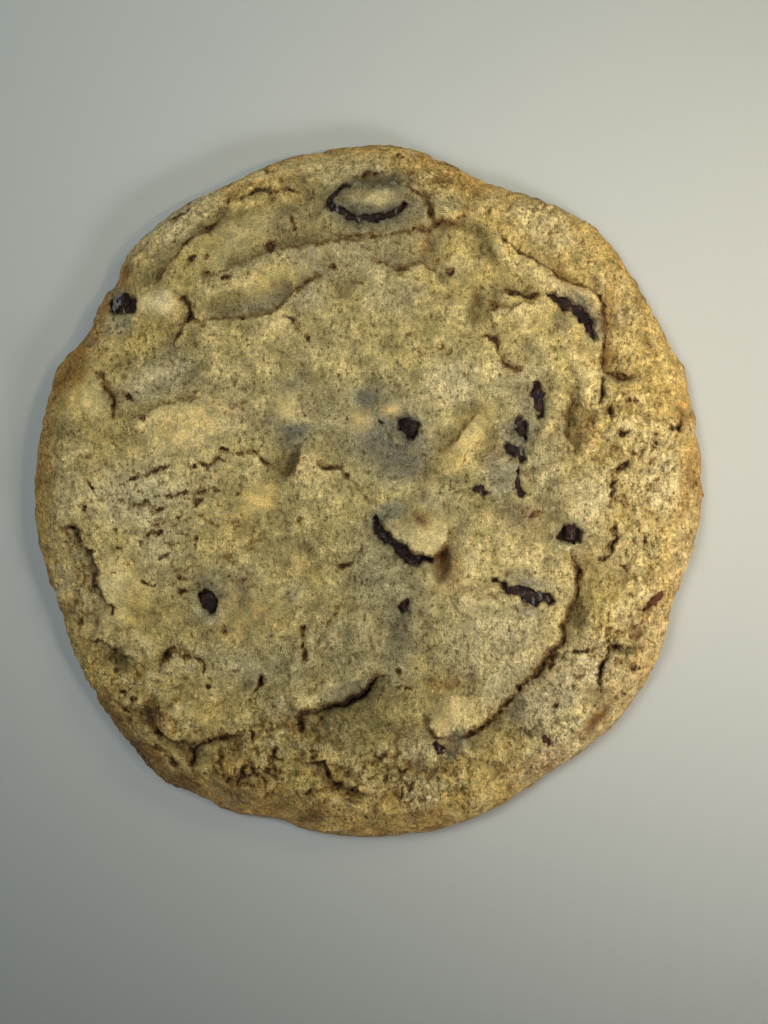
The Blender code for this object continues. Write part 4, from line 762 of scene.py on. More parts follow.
DRY = (
    (-28.0, -1.5, 12.0, 6.5, 8, 0.6), (-22.0, 12.0, 9.0, 5.0, 15, 0.4),
    (-30.0, -9.0, 9.0, 5.0, 0, 0.7), (-33.0, 5.0, 6.0, 6.0, 0, 0.5),
    (-20.0, -10.0, 10.0, 8.0, 0, 0.5), (-8.0, 20.0, 14.0, 6.0, 10, 0.3),
    (-4.0, -18.0, 12.0, 9.0, 0, 0.4), (20.0, -14.0, 9.0, 9.0, 0, 0.4),
    (8.0, 16.0, 9.0, 6.0, 0, 0.4),
)
SMOOTH_AREAS = (
    (8.8, -5.8, 3.4, 3.4, 0, 0.85), (14.0, 7.8, 5.0, 1.9, 53, 0.95), (-0.8, 9.9, 2.1, 2.0, 0, 0.95),
    (3.4, 11.7, 1.6, 1.3, 20, 0.9), (-11.8, 12.0, 1.8, 1.6, 0, 0.8),
    (-16.0, -1.0, 3.0, 2.0, 10, 0.8), (-29.2, 27.0, 2.6, 2.4, 0, 0.8),
    (-40.6, 13.2, 3.6, 3.6, 60, 0.8), (-27.0, 8.5, 5.5, 3.6, 15, 0.55),
    (0.6, 42.0, 3.6, 1.5, 0, 0.85), (-35.0, -15.0, 5.0, 6.0, 0, 0.5),
    (-24.5, -30.0, 5.0, 3.6, 10, 0.5), (11.0, -31.5, 3.4, 2.4, 72, 0.6),
    (29.5, 28.6, 5.0, 1.0, -35, 0.6), (-17.0, -17.5, 4.5, 3.4, 0, 0.4),
    (-20.0, 36.0, 6.0, 3.0, 30, 0.5), (10.2, -10.8, 2.0, 2.6, 0, 0.6),
    (16.5, -15.5, 2.6, 1.4, 0, 0.6), (-14.0, 29.5, 6.0, 1.8, 22, 0.4),
    (22.0, 25.0, 4.0, 2.0, -10, 0.3), (-22.5, 10.5, 4.0, 2.6, 10, 0.4),
)

PATCHES = {
    "toasted": TOASTED, "golden": GOLDEN, "smooth": SMOOTH_AREAS, "crust_and_painted_shade": CRUST_AND_PAINTED_SHADE, "honey": HONEY,
    "pale_and_painted_light": PALE_AND_PAINTED_LIGHT, "bleed": BLEED, "olive_and_painted_shade": OLIVE_AND_PAINTED_SHADE, "brown": BROWN_SPOTS,
}


# ---------------------------------------------------------------- random values

def fade(t):
    return t * t * t * (t * (t * 6.0 - 15.0) + 10.0)


def turned(x, y, seed):
    """The plane turned and shifted by a seed, so that layers never line up."""
    angle = 0.7 + 1.9 * seed
    return (x * math.cos(angle) - y * math.sin(angle) + 7.3 * seed,
            x * math.sin(angle) + y * math.cos(angle) - 3.1 * seed)


def smooth_noise(x, y, size, seed):
    """Smooth random values between about -1 and 1, with lumps of the given size."""
    heading = np.random.default_rng(SEED + seed).uniform(0, 2 * math.pi, (TILE, TILE))
    slope_u = np.cos(heading)
    slope_v = np.sin(heading)
    u, v = turned(x, y, seed)
    u = u / size
    v = v / size
    i = np.floor(u).astype(int)
    j = np.floor(v).astype(int)
    u = u - i
    v = v - j

    def corner(di, dj):
        a = (i + di) % TILE
        b = (j + dj) % TILE
        return slope_u[a, b] * (u - di) + slope_v[a, b] * (v - dj)

    share_u = fade(u)
    share_v = fade(v)
    low = corner(0, 0) * (1 - share_u) + corner(1, 0) * share_u
    high = corner(0, 1) * (1 - share_u) + corner(1, 1) * share_u
    return 1.4 * (low * (1 - share_v) + high * share_v)


def rough_noise(x, y, size, layers, roughness, seed):
    """Layers of smooth noise, each half as large as the one before."""
    total = np.zeros_like(x)
    strength = 1.0
    for layer in range(layers):
        total = total + strength * smooth_noise(x, y, size / 2**layer, seed + 7 * layer)
        strength *= roughness
    return total


def solid_noise(places, size, seed):
    """Smooth random values between about -1 and 1 in space, for walls as well as tops."""
    rng = np.random.default_rng(SEED + seed)
    slopes = rng.normal(size=(TILE, TILE, TILE, 3)).astype(np.float32)
    slopes /= np.linalg.norm(slopes, axis=3, keepdims=True)
    p = places / size + 11.7 * seed
    cell = np.floor(p).astype(int)
    inside = p - cell
    share = fade(inside)
    total = np.zeros(len(places))
    for di in (0, 1):
        for dj in (0, 1):
            for dk in (0, 1):
                corner = slopes[(cell[:, 0] + di) % TILE, (cell[:, 1] + dj) % TILE,
                                (cell[:, 2] + dk) % TILE]
                away = inside - (di, dj, dk)
                weight = ((share[:, 0] if di else 1 - share[:, 0])
                          * (share[:, 1] if dj else 1 - share[:, 1])
                          * (share[:, 2] if dk else 1 - share[:, 2]))
                total += weight * np.einsum("ij,ij->i", corner, away)
    return 1.5 * total


def cell_noise(x, y, size, seed):
    """Distances to the nearest and second nearest of scattered points, and the nearest's value."""
    rng = np.random.default_rng(SEED + seed)
    offset_u = rng.random((TILE, TILE))
    offset_v = rng.random((TILE, TILE))
    value = rng.random((TILE, TILE))
    u, v = turned(x, y, 0.01 * seed)
    u = u / size
    v = v / size
    i = np.floor(u).astype(int)
    j = np.floor(v).astype(int)
    nearest = np.full_like(x, 9.0)
    second = np.full_like(x, 9.0)
    own = np.zeros_like(x)
    for di in (-1, 0, 1):
        for dj in (-1, 0, 1):
            a = (i + di) % TILE
            b = (j + dj) % TILE
            away = (i + di + offset_u[a, b] - u)**2 + (j + dj + offset_v[a, b] - v)**2
            closer = away < nearest
            second = np.where(closer, nearest, np.minimum(second, away))
            own = np.where(closer, value[a, b], own)
            nearest = np.minimum(nearest, away)
    return np.sqrt(nearest), np.sqrt(second), own


# ---------------------------------------------------------------- shapes on the plane

def smooth_path(points):
    """Closely spaced points along a smooth curve through the given ones."""
    corners = np.array(points, float)
    before = 2 * corners[:1] - corners[1:2]
    after = 2 * corners[-1:] - corners[-2:-1]
    line = np.vstack([before, corners, after])
    pieces = []
    for i in range(1, len(line) - 2):
        p0, p1, p2, p3 = line[i - 1:i + 3]
        count = max(2, math.ceil(np.linalg.norm((p2 - p1)[:2]) / PATH_STEP))
        t = (np.arange(count) / count)[:, None]
        pieces.append(0.5 * (2 * p1 + (p2 - p0) * t + (2 * p0 - 5 * p1 + 4 * p2 - p3) * t**2
                             + (3 * p1 - p0 - 3 * p2 + p3) * t**3))
    pieces.append(corners[-1:])
    return np.vstack(pieces)


def directions_along(path):
    steps = np.gradient(path[:, :2], axis=0)
    return steps / np.linalg.norm(steps, axis=1, keepdims=True)


def lengths_along(path):
    gaps = np.linalg.norm(np.diff(path[:, :2], axis=0), axis=1)
    return np.concatenate([[0.0], np.cumsum(gaps)])


def near_path(x, y, path, margin):
    """Which of the points lie within a margin of a path's box."""
    lowest = path[:, :2].min(axis=0) - margin
    highest = path[:, :2].max(axis=0) + margin
    return np.flatnonzero((x > lowest[0]) & (x < highest[0])
                          & (y > lowest[1]) & (y < highest[1]))


def nearest_on_path(x, y, path):
    """For each point: distance, side (+1 left, -1 right), length from the nearer end, the
    nearest sample and the direction of the path there."""
    tangents = directions_along(path)
    along = lengths_along(path)
    nearest = np.zeros(len(x), int)
    best = np.full(len(x), np.inf)
    for k, place in enumerate(path):
        away = (x - place[0])**2 + (y - place[1])**2
        closer = away < best
        best[closer] = away[closer]
        nearest[closer] = k
    dx = x - path[nearest, 0]
    dy = y - path[nearest, 1]
    tangent_x, tangent_y = tangents[nearest].T
    side = np.where(tangent_x * dy - tangent_y * dx >= 0, 1.0, -1.0)
    from_end = np.minimum(along[nearest], along[-1] - along[nearest])
    return np.sqrt(best), side, from_end, nearest, tangents[nearest]


def outline_radius(heading):
    """Distance from the middle to the widest line, in the direction of a heading in radians."""
    radius = HALF_WIDTH * HALF_LENGTH / np.hypot(HALF_LENGTH * np.cos(heading),
                                                 HALF_WIDTH * np.sin(heading))
    for degrees, spread, height in OUTLINE_BULGES:
        turn = np.degrees(np.angle(np.exp(1j * (heading - math.radians(degrees)))))
        radius = radius + height * np.exp(-(turn / spread)**2)
    return radius


def spot(x, y, middle_x, middle_y, half_length, half_width, heading, power=1.5):
    """A soft-edged oval: 1 in its middle, 0 far away."""
    turn = math.radians(heading)
    dx = x - middle_x
    dy = y - middle_y
    along = dx * math.cos(turn) + dy * math.sin(turn)
    across = dy * math.cos(turn) - dx * math.sin(turn)
    away = (along / half_length)**2 + (across / half_width)**2
    return np.exp(-away**power)


def spots(x, y, table):
    """The strongest of a table of soft ovals at each point."""
    strongest = np.zeros_like(x)
    for middle_x, middle_y, half_length, half_width, heading, strength in table:
        oval = strength * spot(x, y, middle_x, middle_y, half_length, half_width, heading)
        strongest = np.maximum(strongest, oval)
    return strongest


def roll_off(inset, width):
    """Quarter-round falling to zero at the outline: 1 where the inset is at least the width."""
    share = np.clip(inset / width, 0.0, 1.0)
    return np.sqrt(1.0 - (1.0 - share)**2)


def smooth_step(low, high, value):
    share = np.clip((value - low) / (high - low), 0.0, 1.0)
    return share * share * (3.0 - 2.0 * share)


# ---------------------------------------------------------------- relief of the dough

def wobble(x, y):
    """The plane slightly disturbed, so that cracks and edges run unevenly."""
    return (x + 0.45 * rough_noise(x, y, 2.6, 4, 0.68, 31),
            y + 0.45 * rough_noise(x, y, 2.6, 4, 0.68, 35))


def granular(x, y, layers):
    """Rounded lumps of several sizes with sharp little valleys between them."""
    height = np.zeros_like(x)
    for size, amount, seed in layers:
        height += amount * (np.abs(smooth_noise(x, y, size, seed)) - 0.28)
    return height


class Relief:
    """Height of the dough's upper surface and what covers it, worked out at given points."""

    def __init__(self, x, y, windows_open=True):
        self.x = x
        self.y = y
        self.uneven_x, self.uneven_y = wobble(x, y)
        self.broken = np.clip(0.75 + 0.9 * rough_noise(x, y, 2.2, 2, 0.6, 38), 0.35, 1.5)
        self.height = np.zeros_like(x)
        self.shift = np.zeros((len(x), 2))
        self.depth = np.zeros_like(x)      # how deep in a crease or crack, 0 to 1
        self.shade = np.zeros_like(x)      # how close under the step of a fold, 0 to 1
        self.window = np.zeros_like(x)     # 1 inside a chip's window
        self.clod = np.zeros_like(x)       # 1 on the lumps of open crumb
        self.gully = np.zeros_like(x)      # 1 between the lumps of open crumb
        self.add_mounds()
        self.add_folds()
        self.add_ribs()
        self.add_unevenness()
        self.add_crumble()
        self.add_dry_cracks()
        self.add_cracks()
        self.add_pits()
        if windows_open:
            self.add_windows()

    def near(self, points, margin):
        """The path through some points, which points of the plane lie near it, and how."""
        path = smooth_path(points)
        near = near_path(self.x, self.y, path, margin)
        return path, near, nearest_on_path(self.uneven_x[near], self.uneven_y[near], path)

    def add_mounds(self):
        for mound in MOUNDS.values():
            self.height += mound[-1] * spot(self.x, self.y, *mound[:-1])

    def add_folds(self):
        for fold in FOLDS.values():
            points, rise, rise_reach, sink, sink_reach, crease, width, softness, lean = fold
            _, near, found = self.near(points, 4.0 * max(rise_reach, sink_reach))
            distance, side, from_end, _, tangents = found
            share = np.clip(from_end / FOLD_END, 0.0, 1.0)
            strength = share * (2.0 - share)
            high = 0.5 + 0.5 * np.tanh(side * distance / softness)
            lifted = FOLD_GAIN * rise * np.exp(-distance / rise_reach)
            lowered = -FOLD_GAIN * sink * np.exp(-distance / sink_reach)
            broken = 0.35 + 0.65 * self.broken[near]
            groove = broken * np.exp(-(distance / (0.45 * width * broken))**2)
            self.height[near] += strength * (high * lifted + (1 - high) * lowered
                                             - crease * groove)
            over = lean * strength * high * np.exp(-(distance / 1.1)**2)
            self.shift[near, 0] += over * tangents[:, 1]
            self.shift[near, 1] -= over * tangents[:, 0]
            shaded = strength * np.exp(-(distance / (max(0.42 * width, THINNEST) * broken))**2)
            shaded *= np.where(side > 0, 0.6, 1.0) * np.minimum(1.0, 0.4 + crease) * broken
            self.depth[near] = np.maximum(self.depth[near], shaded)
            under = strength * (1 - high) * np.exp(-distance / (0.6 * sink_reach))
            under *= np.clip(0.1 + 0.9 * sink, 0.0, 1.0) * (0.6 + 0.4 * broken)
            self.shade[near] = np.maximum(self.shade[near], under)

    def add_ribs(self):
        for points, half_width, height in RIBS.values():
            _, near, found = self.near(points, 3.0 * half_width)
            distance, _, from_end, _, _ = found
            share = np.clip(0.3 + from_end / (2.0 * half_width), 0.0, 1.0)
            self.height[near] += RIB_GAIN * height * share * np.exp(-(distance / half_width)**2)

    def add_unevenness(self):
        """Uneven swelling of the dough, with soft valleys where lumps meet."""
        x, y = self.x, self.y
        self.height += 0.55 * smooth_noise(x, y, 9.0, 81) + 0.50 * smooth_noise(x, y, 4.6, 82)
        valleys = np.abs(smooth_noise(self.uneven_x, self.uneven_y, 5.2, 83))
        self.height += 0.7 * (np.clip(valleys, 0.0, 0.45) - 0.3)
        self.height += 0.32 * smooth_noise(self.uneven_x, self.uneven_y, 2.2, 84)

    def add_crumble(self):
        """Open crumb of the rim: rounded granules of several sizes heaped together."""
        zone = spots(self.x, self.y, CRUMBLY)
        bent_x = self.x + 1.2 * rough_noise(self.x, self.y, 3.4, 3, 0.6, 85)
        bent_y = self.y + 1.2 * rough_noise(self.x, self.y, 3.4, 3, 0.6, 88)
        lumps = granular(bent_x, bent_y, GRANULES)
        self.height += (0.18 + 0.82 * zone) * lumps
        self.clod = (0.15 + 0.85 * zone) * smooth_step(0.05, 0.55, lumps)
        cracked = spots(self.x, self.y, CRACKED)
        self.gully = (0.1 + 0.4 * zone + 0.5 * cracked) * smooth_step(-0.10, -0.48, lumps)
        gaps = smooth_step(-0.34, -0.62, lumps)
        self.depth = np.maximum(self.depth, 0.42 * zone * gaps)
        for size, half_width, depth, seed in RIM_CRACKS:
            distance = np.abs(smooth_noise(bent_x, bent_y, size, seed)) * size / 1.4
            opened = smooth_step(-0.10, 0.30, smooth_noise(self.x, self.y, 1.2 * size, seed + 1))
            narrow = half_width * self.broken
            groove = cracked * opened * np.exp(-(distance / narrow)**2)
            self.height -= depth * groove
            self.depth = np.maximum(self.depth, 0.75 * groove)

    def add_dry_cracks(self):
        """Fine cracks of a skin that dried as the dough spread, mostly running across."""
        zone = spots(self.x, self.y, DRY)
        for size, depth, sharpness, seed in DRY_CRACKS:
            nearest, second, _ = cell_noise(self.uneven_x * 0.42, self.uneven_y, size, seed)
            crack = np.exp(-((second - nearest) / sharpness)**2)
            opened = smooth_step(0.0, 0.4, smooth_noise(self.x, self.y, 0.9 * size, seed + 1))
            self.height -= zone * depth * opened * crack
            self.depth = np.maximum(self.depth, 0.8 * zone * opened * crack)

    def add_cracks(self):
        for cracks in CRACKS.values():
            for half_width, depth, points in cracks:
                _, near, found = self.near(points, 3.0)
                distance, _, from_end, _, _ = found
                share = np.clip(0.45 + from_end / 1.2, 0.0, 1.0)
                broken = self.broken[near]
                narrow = max(0.8 * half_width, THINNEST) * share * broken
                groove = np.minimum(broken, 1.0) * np.exp(-(distance / narrow)**2)
                curl = np.exp(-((distance - 2.2 * half_width) / (1.2 * half_width))**2)
                self.height[near] += depth * share * (0.2 * curl - groove)
                self.depth[near] = np.maximum(self.depth[near], share * groove)

    def add_pits(self):
        for middle_x, middle_y, half_length, half_width, heading, depth in PITS:
            near = near_path(self.x, self.y, np.array([[middle_x, middle_y]]), 4.0)
            hole = spot(self.uneven_x[near], self.uneven_y[near], middle_x, middle_y,
                        0.8 * half_length, 0.8 * half_width, heading, 2.5)
            self.height[near] -= depth * hole
            self.depth[near] = np.maximum(self.depth[near], 0.9 * hole)

    def add_windows(self):
        for points, depth in WINDOWS.values():
            path, near, found = self.near(points, 4.0)
            distance, _, _, nearest, _ = found
            ragged = 0.25 * rough_noise(self.x[near], self.y[near], 1.1, 2, 0.7, 39)
            outside = distance - path[nearest, 2] + ragged
            opening = smooth_step(0.22, -0.24, outside)
            self.height[near] -= depth * opening
            self.window[near] = np.maximum(self.window[near], opening)


def dome(x, y):
    """Plain domed height, before its shoulder is rounded."""
    level = np.clip(np.hypot(x, y) / outline_radius(np.arctan2(y, x)), 0.0, 1.0)
    rise = (1.0 - level**CROWN_FLATNESS)**CROWN_FULLNESS
    return RIM_HEIGHT + (CROWN_HEIGHT - RIM_HEIGHT) * rise


def rim_inset(x, y):
    return outline_radius(np.arctan2(y, x)) - np.hypot(x, y)


def dough_top(x, y, windows_open=True):
    """Places of the upper surface over points of the plane, and the relief that made them."""
    relief = Relief(x, y, windows_open)
    height = dome(x, y) + LUMP_HEIGHT * smooth_noise(x, y, LUMP_SIZE, 3) + relief.height
    over = np.clip(height - SOFT_CEILING, 0.0, None)
    height = height - over + (1.0 - np.exp(-over))
    z = HEEL_HEIGHT + (height - HEEL_HEIGHT) * roll_off(rim_inset(x, y), EDGE_ROLL)
    inner = smooth_step(0.5, 4.0, rim_inset(x, y))[:, None]
    plan = np.stack([x, y], axis=1) + relief.shift * inner
    return np.column_stack([plan, z]), relief


def dough_base(x, y):
    """Places of the underside: flat, with a rounded edge and shallow hollows left by steam."""
    inset = rim_inset(x, y)
    rim = HEEL_HEIGHT * (1.0 - roll_off(inset, HEEL_ROLL))
    nearest, _, value = cell_noise(x, y, 2.4, 41)
    bubble = 0.35 * (value > 0.45) * np.exp(-(nearest / 0.28)**2)
    hollows = 0.12 * (1.0 + rough_noise(x, y, 9.0, 3, 0.5, 42))
    lifted = (np.clip(hollows, 0.0, None) + bubble) * smooth_step(1.0, 5.0, inset)
    return np.column_stack([x, y, rim + lifted])


# ---------------------------------------------------------------- meshes

def move_vertices(shell, places):
    for vertex, place in zip(shell.verts, places * MM):
        vertex.co = place


def mesh_object(name, shell):
    mesh = bpy.data.meshes.new(name)
    shell.to_mesh(mesh)
    shell.free()
    mesh.shade_smooth()
    made = bpy.data.objects.new(name, mesh)
    bpy.context.scene.collection.objects.link(made)
    return made


def vertex_values(mesh, field):
    values = np.zeros(len(mesh.vertices) * 3, np.float32)
    mesh.vertices.foreach_get(field, values)
    return values.reshape(-1, 3).astype(float)


def place_vertices(mesh, places):
    mesh.vertices.foreach_set("co", (places * MM).astype(np.float32).ravel())
    mesh.update()


def add_attribute(mesh, name, values):
    layer = mesh.attributes.new(name, "FLOAT", "POINT")
    layer.data.foreach_set("value", np.clip(values, 0.0, 1.0).astype(np.float32))


def fewer_faces(made, faces):
    """Keeps only so many triangles, with the finest where the surface is roughest."""
    made.data.calc_loop_triangles()
    thin = made.modifiers.new("fewer faces", "DECIMATE")
    thin.ratio = faces / len(made.data.loop_triangles)
    evaluated = made.evaluated_get(bpy.context.evaluated_depsgraph_get())
    mesh = bpy.data.meshes.new_from_object(evaluated)
    made.modifiers.clear()
    old = made.data
    made.data = mesh
    bpy.data.meshes.remove(old)
    mesh.name = made.name
    mesh.shade_smooth()


def crumb(places, normals):
    """Small roughness of the baked surface, pushed out along its normals."""
    x, y = places[:, 0], places[:, 1]
    smoothed = spots(x, y, SMOOTH_AREAS) * (normals[:, 2] > 0)
    rough = 0.20 * (0.3 - np.abs(solid_noise(places, 2.4, 51)))
    rough += 0.17 * solid_noise(places, 1.2, 52)
    rough += 0.12 * solid_noise(places, 0.7, 53)
    coarse = smooth_step(-0.2, 0.6, smooth_noise(x, y, 16.0, 54))
    rough *= 0.8 + 0.5 * coarse
    nearest, _, value = cell_noise(x, y, 1.3, 55)
    pores = 0.30 * (value > 0.5) * np.exp(-(nearest / 0.2)**2)
    pores *= np.clip(normals[:, 2], 0.0, 1.0)
    return (rough - pores) * (1.0 - 0.75 * smoothed)


def blurred(field, reach):
    """A square field of heights, softened over a reach given in steps."""
    taps = np.arange(-3 * reach, 3 * reach + 1)
    weights = np.exp(-0.5 * (taps / reach)**2)
    weights /= weights.sum()
    for _ in range(2):
        padded = np.pad(field, ((len(taps) // 2, len(taps) // 2), (0, 0)), "edge")
        field = sum(weight * padded[k:k + len(field)] for k, weight in enumerate(weights)).T
    return field


def peaks_and_hollows():
    """How far each point of a square grid lies above its near and its wider surroundings."""
    side = np.arange(-MAP_HALF, MAP_HALF + MAP_STEP, MAP_STEP)
    x, y = np.meshgrid(side, side, indexing="ij")
    height = Relief(x.ravel(), y.ravel(), windows_open=False).height.reshape(x.shape)
    soft = blurred(height, 3)
    return height - soft, soft - blurred(height, 16)


def read_map(field, x, y):
    """The field's values at points of the plane."""
    u = np.clip((x + MAP_HALF) / MAP_STEP, 0, len(field) - 1.001)
    v = np.clip((y + MAP_HALF) / MAP_STEP, 0, len(field) - 1.001)
    i = u.astype(int)
    j = v.astype(int)
    u = u - i
    v = v - j
    return ((1 - u) * ((1 - v) * field[i, j] + v * field[i, j + 1])
            + u * ((1 - v) * field[i + 1, j] + v * field[i + 1, j + 1]))


def paint_skin(mesh):
    """What the dough's material needs to know at each point."""
    places = vertex_values(mesh, "co") / MM
    x, y, z = places.T
    upper = smooth_step(0.5, 2.5, z)
    relief = Relief(x, y)
    near_x = x + 0.7 * smooth_noise(x, y, 3.0, 61) + 0.3 * smooth_noise(x, y, 1.0, 62)
    near_y = y + 0.7 * smooth_noise(x, y, 3.0, 63) + 0.3 * smooth_noise(x, y, 1.0, 64)
    rim = smooth_step(5.0, -0.5, rim_inset(x, y))
    low = smooth_step(4.2, 0.6, z)
    for name, table in PATCHES.items():
        add_attribute(mesh, name, upper * spots(near_x, near_y, table))
    close, wide = peaks_and_hollows()
    close = read_map(close, x, y)
    wide = read_map(wide, x, y)
    # painted highlight, partly golden crust: raised places made lighter
    add_attribute(mesh, "peak_painted_highlight", upper * (0.75 * smooth_step(0.0, 0.55, wide)
                                         + 0.4 * smooth_step(0.02, 0.22, close)))
    # painted shade, partly moister dough: hollows made darker
    add_attribute(mesh, "hollow_painted_shade", upper * (0.75 * smooth_step(0.0, -0.6, wide)
                                           + 0.5 * smooth_step(-0.03, -0.25, close)))
    for name in ("clod", "gully", "depth", "shade", "window"):
        add_attribute(mesh, name, upper * getattr(relief, name))
    add_attribute(mesh, "rim", rim)
    # painted light: the outer ring's colour is brightened towards the outline, for the light its
    # sloping sides miss
    add_attribute(mesh, "painted_light_outward", smooth_step(26.0, 4.0, rim_inset(x, y)))
    add_attribute(mesh, "underside", low)


def jagged(heading):
    """Small bites and bumps of the crumbly outline."""
    x = HALF_LENGTH * np.cos(heading)
    y = HALF_LENGTH * np.sin(heading)
    return rough_noise(x, y, 3.2, 3, 0.6, 65) * 0.34


def make_skin():
    """A cube cut finely, rounded to a sphere and flattened into the cookie."""
    shell = bmesh.new()
    bmesh.ops.create_cube(shell, size=2.0)
    bmesh.ops.subdivide_edges(shell, edges=shell.edges[:], cuts=SKIN_CUTS, use_grid_fill=True)
    ball = np.tan(np.array([vertex.co for vertex in shell.verts]) * math.pi / 4)
    ball /= np.linalg.norm(ball, axis=1, keepdims=True)
    heading = np.arctan2(ball[:, 1], ball[:, 0])
    up = ball[:, 2]
    top = up >= TOP_SHARE
    level = np.where(top, np.sqrt(np.clip((1 - up) / (1 - TOP_SHARE), 0, 1)),
                     np.sqrt(np.clip((1 + up) / (1 + TOP_SHARE), 0, 1)))
    distance = level * (outline_radius(heading) + level**8 * jagged(heading))
    x = distance * np.cos(heading)
    y = distance * np.sin(heading)
    places = np.zeros((len(x), 3))
    places[top], _ = dough_top(x[top], y[top])
    places[~top] = dough_base(x[~top], y[~top])
    move_vertices(shell, places)
    skin = mesh_object("dough_skin", shell)
    normals = vertex_values(skin.data, "normal")
    places = places + crumb(places, normals)[:, None] * normals
    places[:, 2] = np.maximum(places[:, 2], 0.02)
    place_vertices(skin.data, places)
    fewer_faces(skin, SKIN_FACES)
    paint_skin(skin.data)
    return skin


def make_crumbs():
    """Grains of dough baked onto the crumbly stretches, each sunk a little into the skin."""
    chance = np.random.default_rng(SEED)
    tries = (chance.random((60 * 2**CRUMB_DOUBLINGS, 2)) - 0.5) * 2.04 * HALF_LENGTH
    x, y = tries.T
    wanted = spots(x, y, CRUMBLY) > 0.15 + 0.85 * chance.random(len(x))
    wanted &= rim_inset(x, y) > 0.6
    x, y = x[wanted][:3 * 2**CRUMB_DOUBLINGS], y[wanted][:3 * 2**CRUMB_DOUBLINGS]
    places, relief = dough_top(x, y)
    bare = (relief.depth < 0.25) & (relief.window < 0.05)
    middles = places[bare][:2**CRUMB_DOUBLINGS]
    shell = bmesh.new()
    bmesh.ops.create_icosphere(shell, subdivisions=2, radius=1.0)
    ball = np.array([vertex.co for vertex in shell.verts])
    for _ in range(CRUMB_DOUBLINGS):
        bmesh.ops.duplicate(shell, geom=shell.verts[:] + shell.edges[:] + shell.faces[:])
    size = 0.20 + 0.36 * chance.random(len(middles))**2
    stretch = 0.7 + 0.6 * chance.random((len(middles), 3))
    middles[:, 2] += 0.1 * size
    places = (middles[:, None, :] + (size[:, None] * stretch)[:, None, :] * ball).reshape(-1, 3)
    places += np.stack([0.22 * solid_noise(places, 0.55, seed) for seed in (57, 58, 59)], axis=1)
    move_vertices(shell, places)
    crumbs = mesh_object("baked_on_crumbs", shell)
    paint_skin(crumbs.data)
    return crumbs


def make_chip(name, points, depth):
    """A softened chip laid along its window, its rough top a little below the dough."""
    path = smooth_path(points)
    lengths = lengths_along(path)
    tangents = directions_along(path)
    surface = dough_top(path[:, 0], path[:, 1], windows_open=False)[0][:, 2]
    surface = np.minimum(surface, np.median(surface) + 0.4)
    shell = bmesh.new()
    rings = 16 + 4 * math.ceil(lengths[-1])
    bmesh.ops.create_uvsphere(shell, u_segments=28, v_segments=rings, radius=1.0)
    across, up, along = np.array([vertex.co for vertex in shell.verts]).T
    fuller = np.sqrt(1.0 + along * along)
    half_length = lengths[-1] / 2 + CHIP_MARGIN
    at = (along + 1.0) * half_length - CHIP_MARGIN
    inside = np.clip(at, 0.0, lengths[-1])
    x, y, width, tangent_x, tangent_y, top = (
        np.interp(inside, lengths, values) for values in
        (path[:, 0], path[:, 1], path[:, 2], tangents[:, 0], tangents[:, 1], surface))
    past = at - inside
    offset = across * fuller * (width + CHIP_MARGIN)
    z = top - CHIP_SINK * depth - CHIP_THICKNESS + up * fuller * CHIP_THICKNESS
    places = np.column_stack([x + past * tangent_x - offset * tangent_y,
                              y + past * tangent_y + offset * tangent_x, z])
    move_vertices(shell, places)
    chip = mesh_object(name, shell)
    normals = vertex_values(chip.data, "normal")
    add_attribute(chip.data, "rust", np.full(len(places), RUSTY.get(name, 0.0)))
    add_attribute(chip.data, "frost", np.full(len(places), FROSTED.get(name, 0.0)))
    rough = 0.22 * solid_noise(places, 1.2, 71) + 0.14 * solid_noise(places, 0.6, 72)
    place_vertices(chip.data, places + rough[:, None] * normals)
    return chip


# ---------------------------------------------------------------- materials

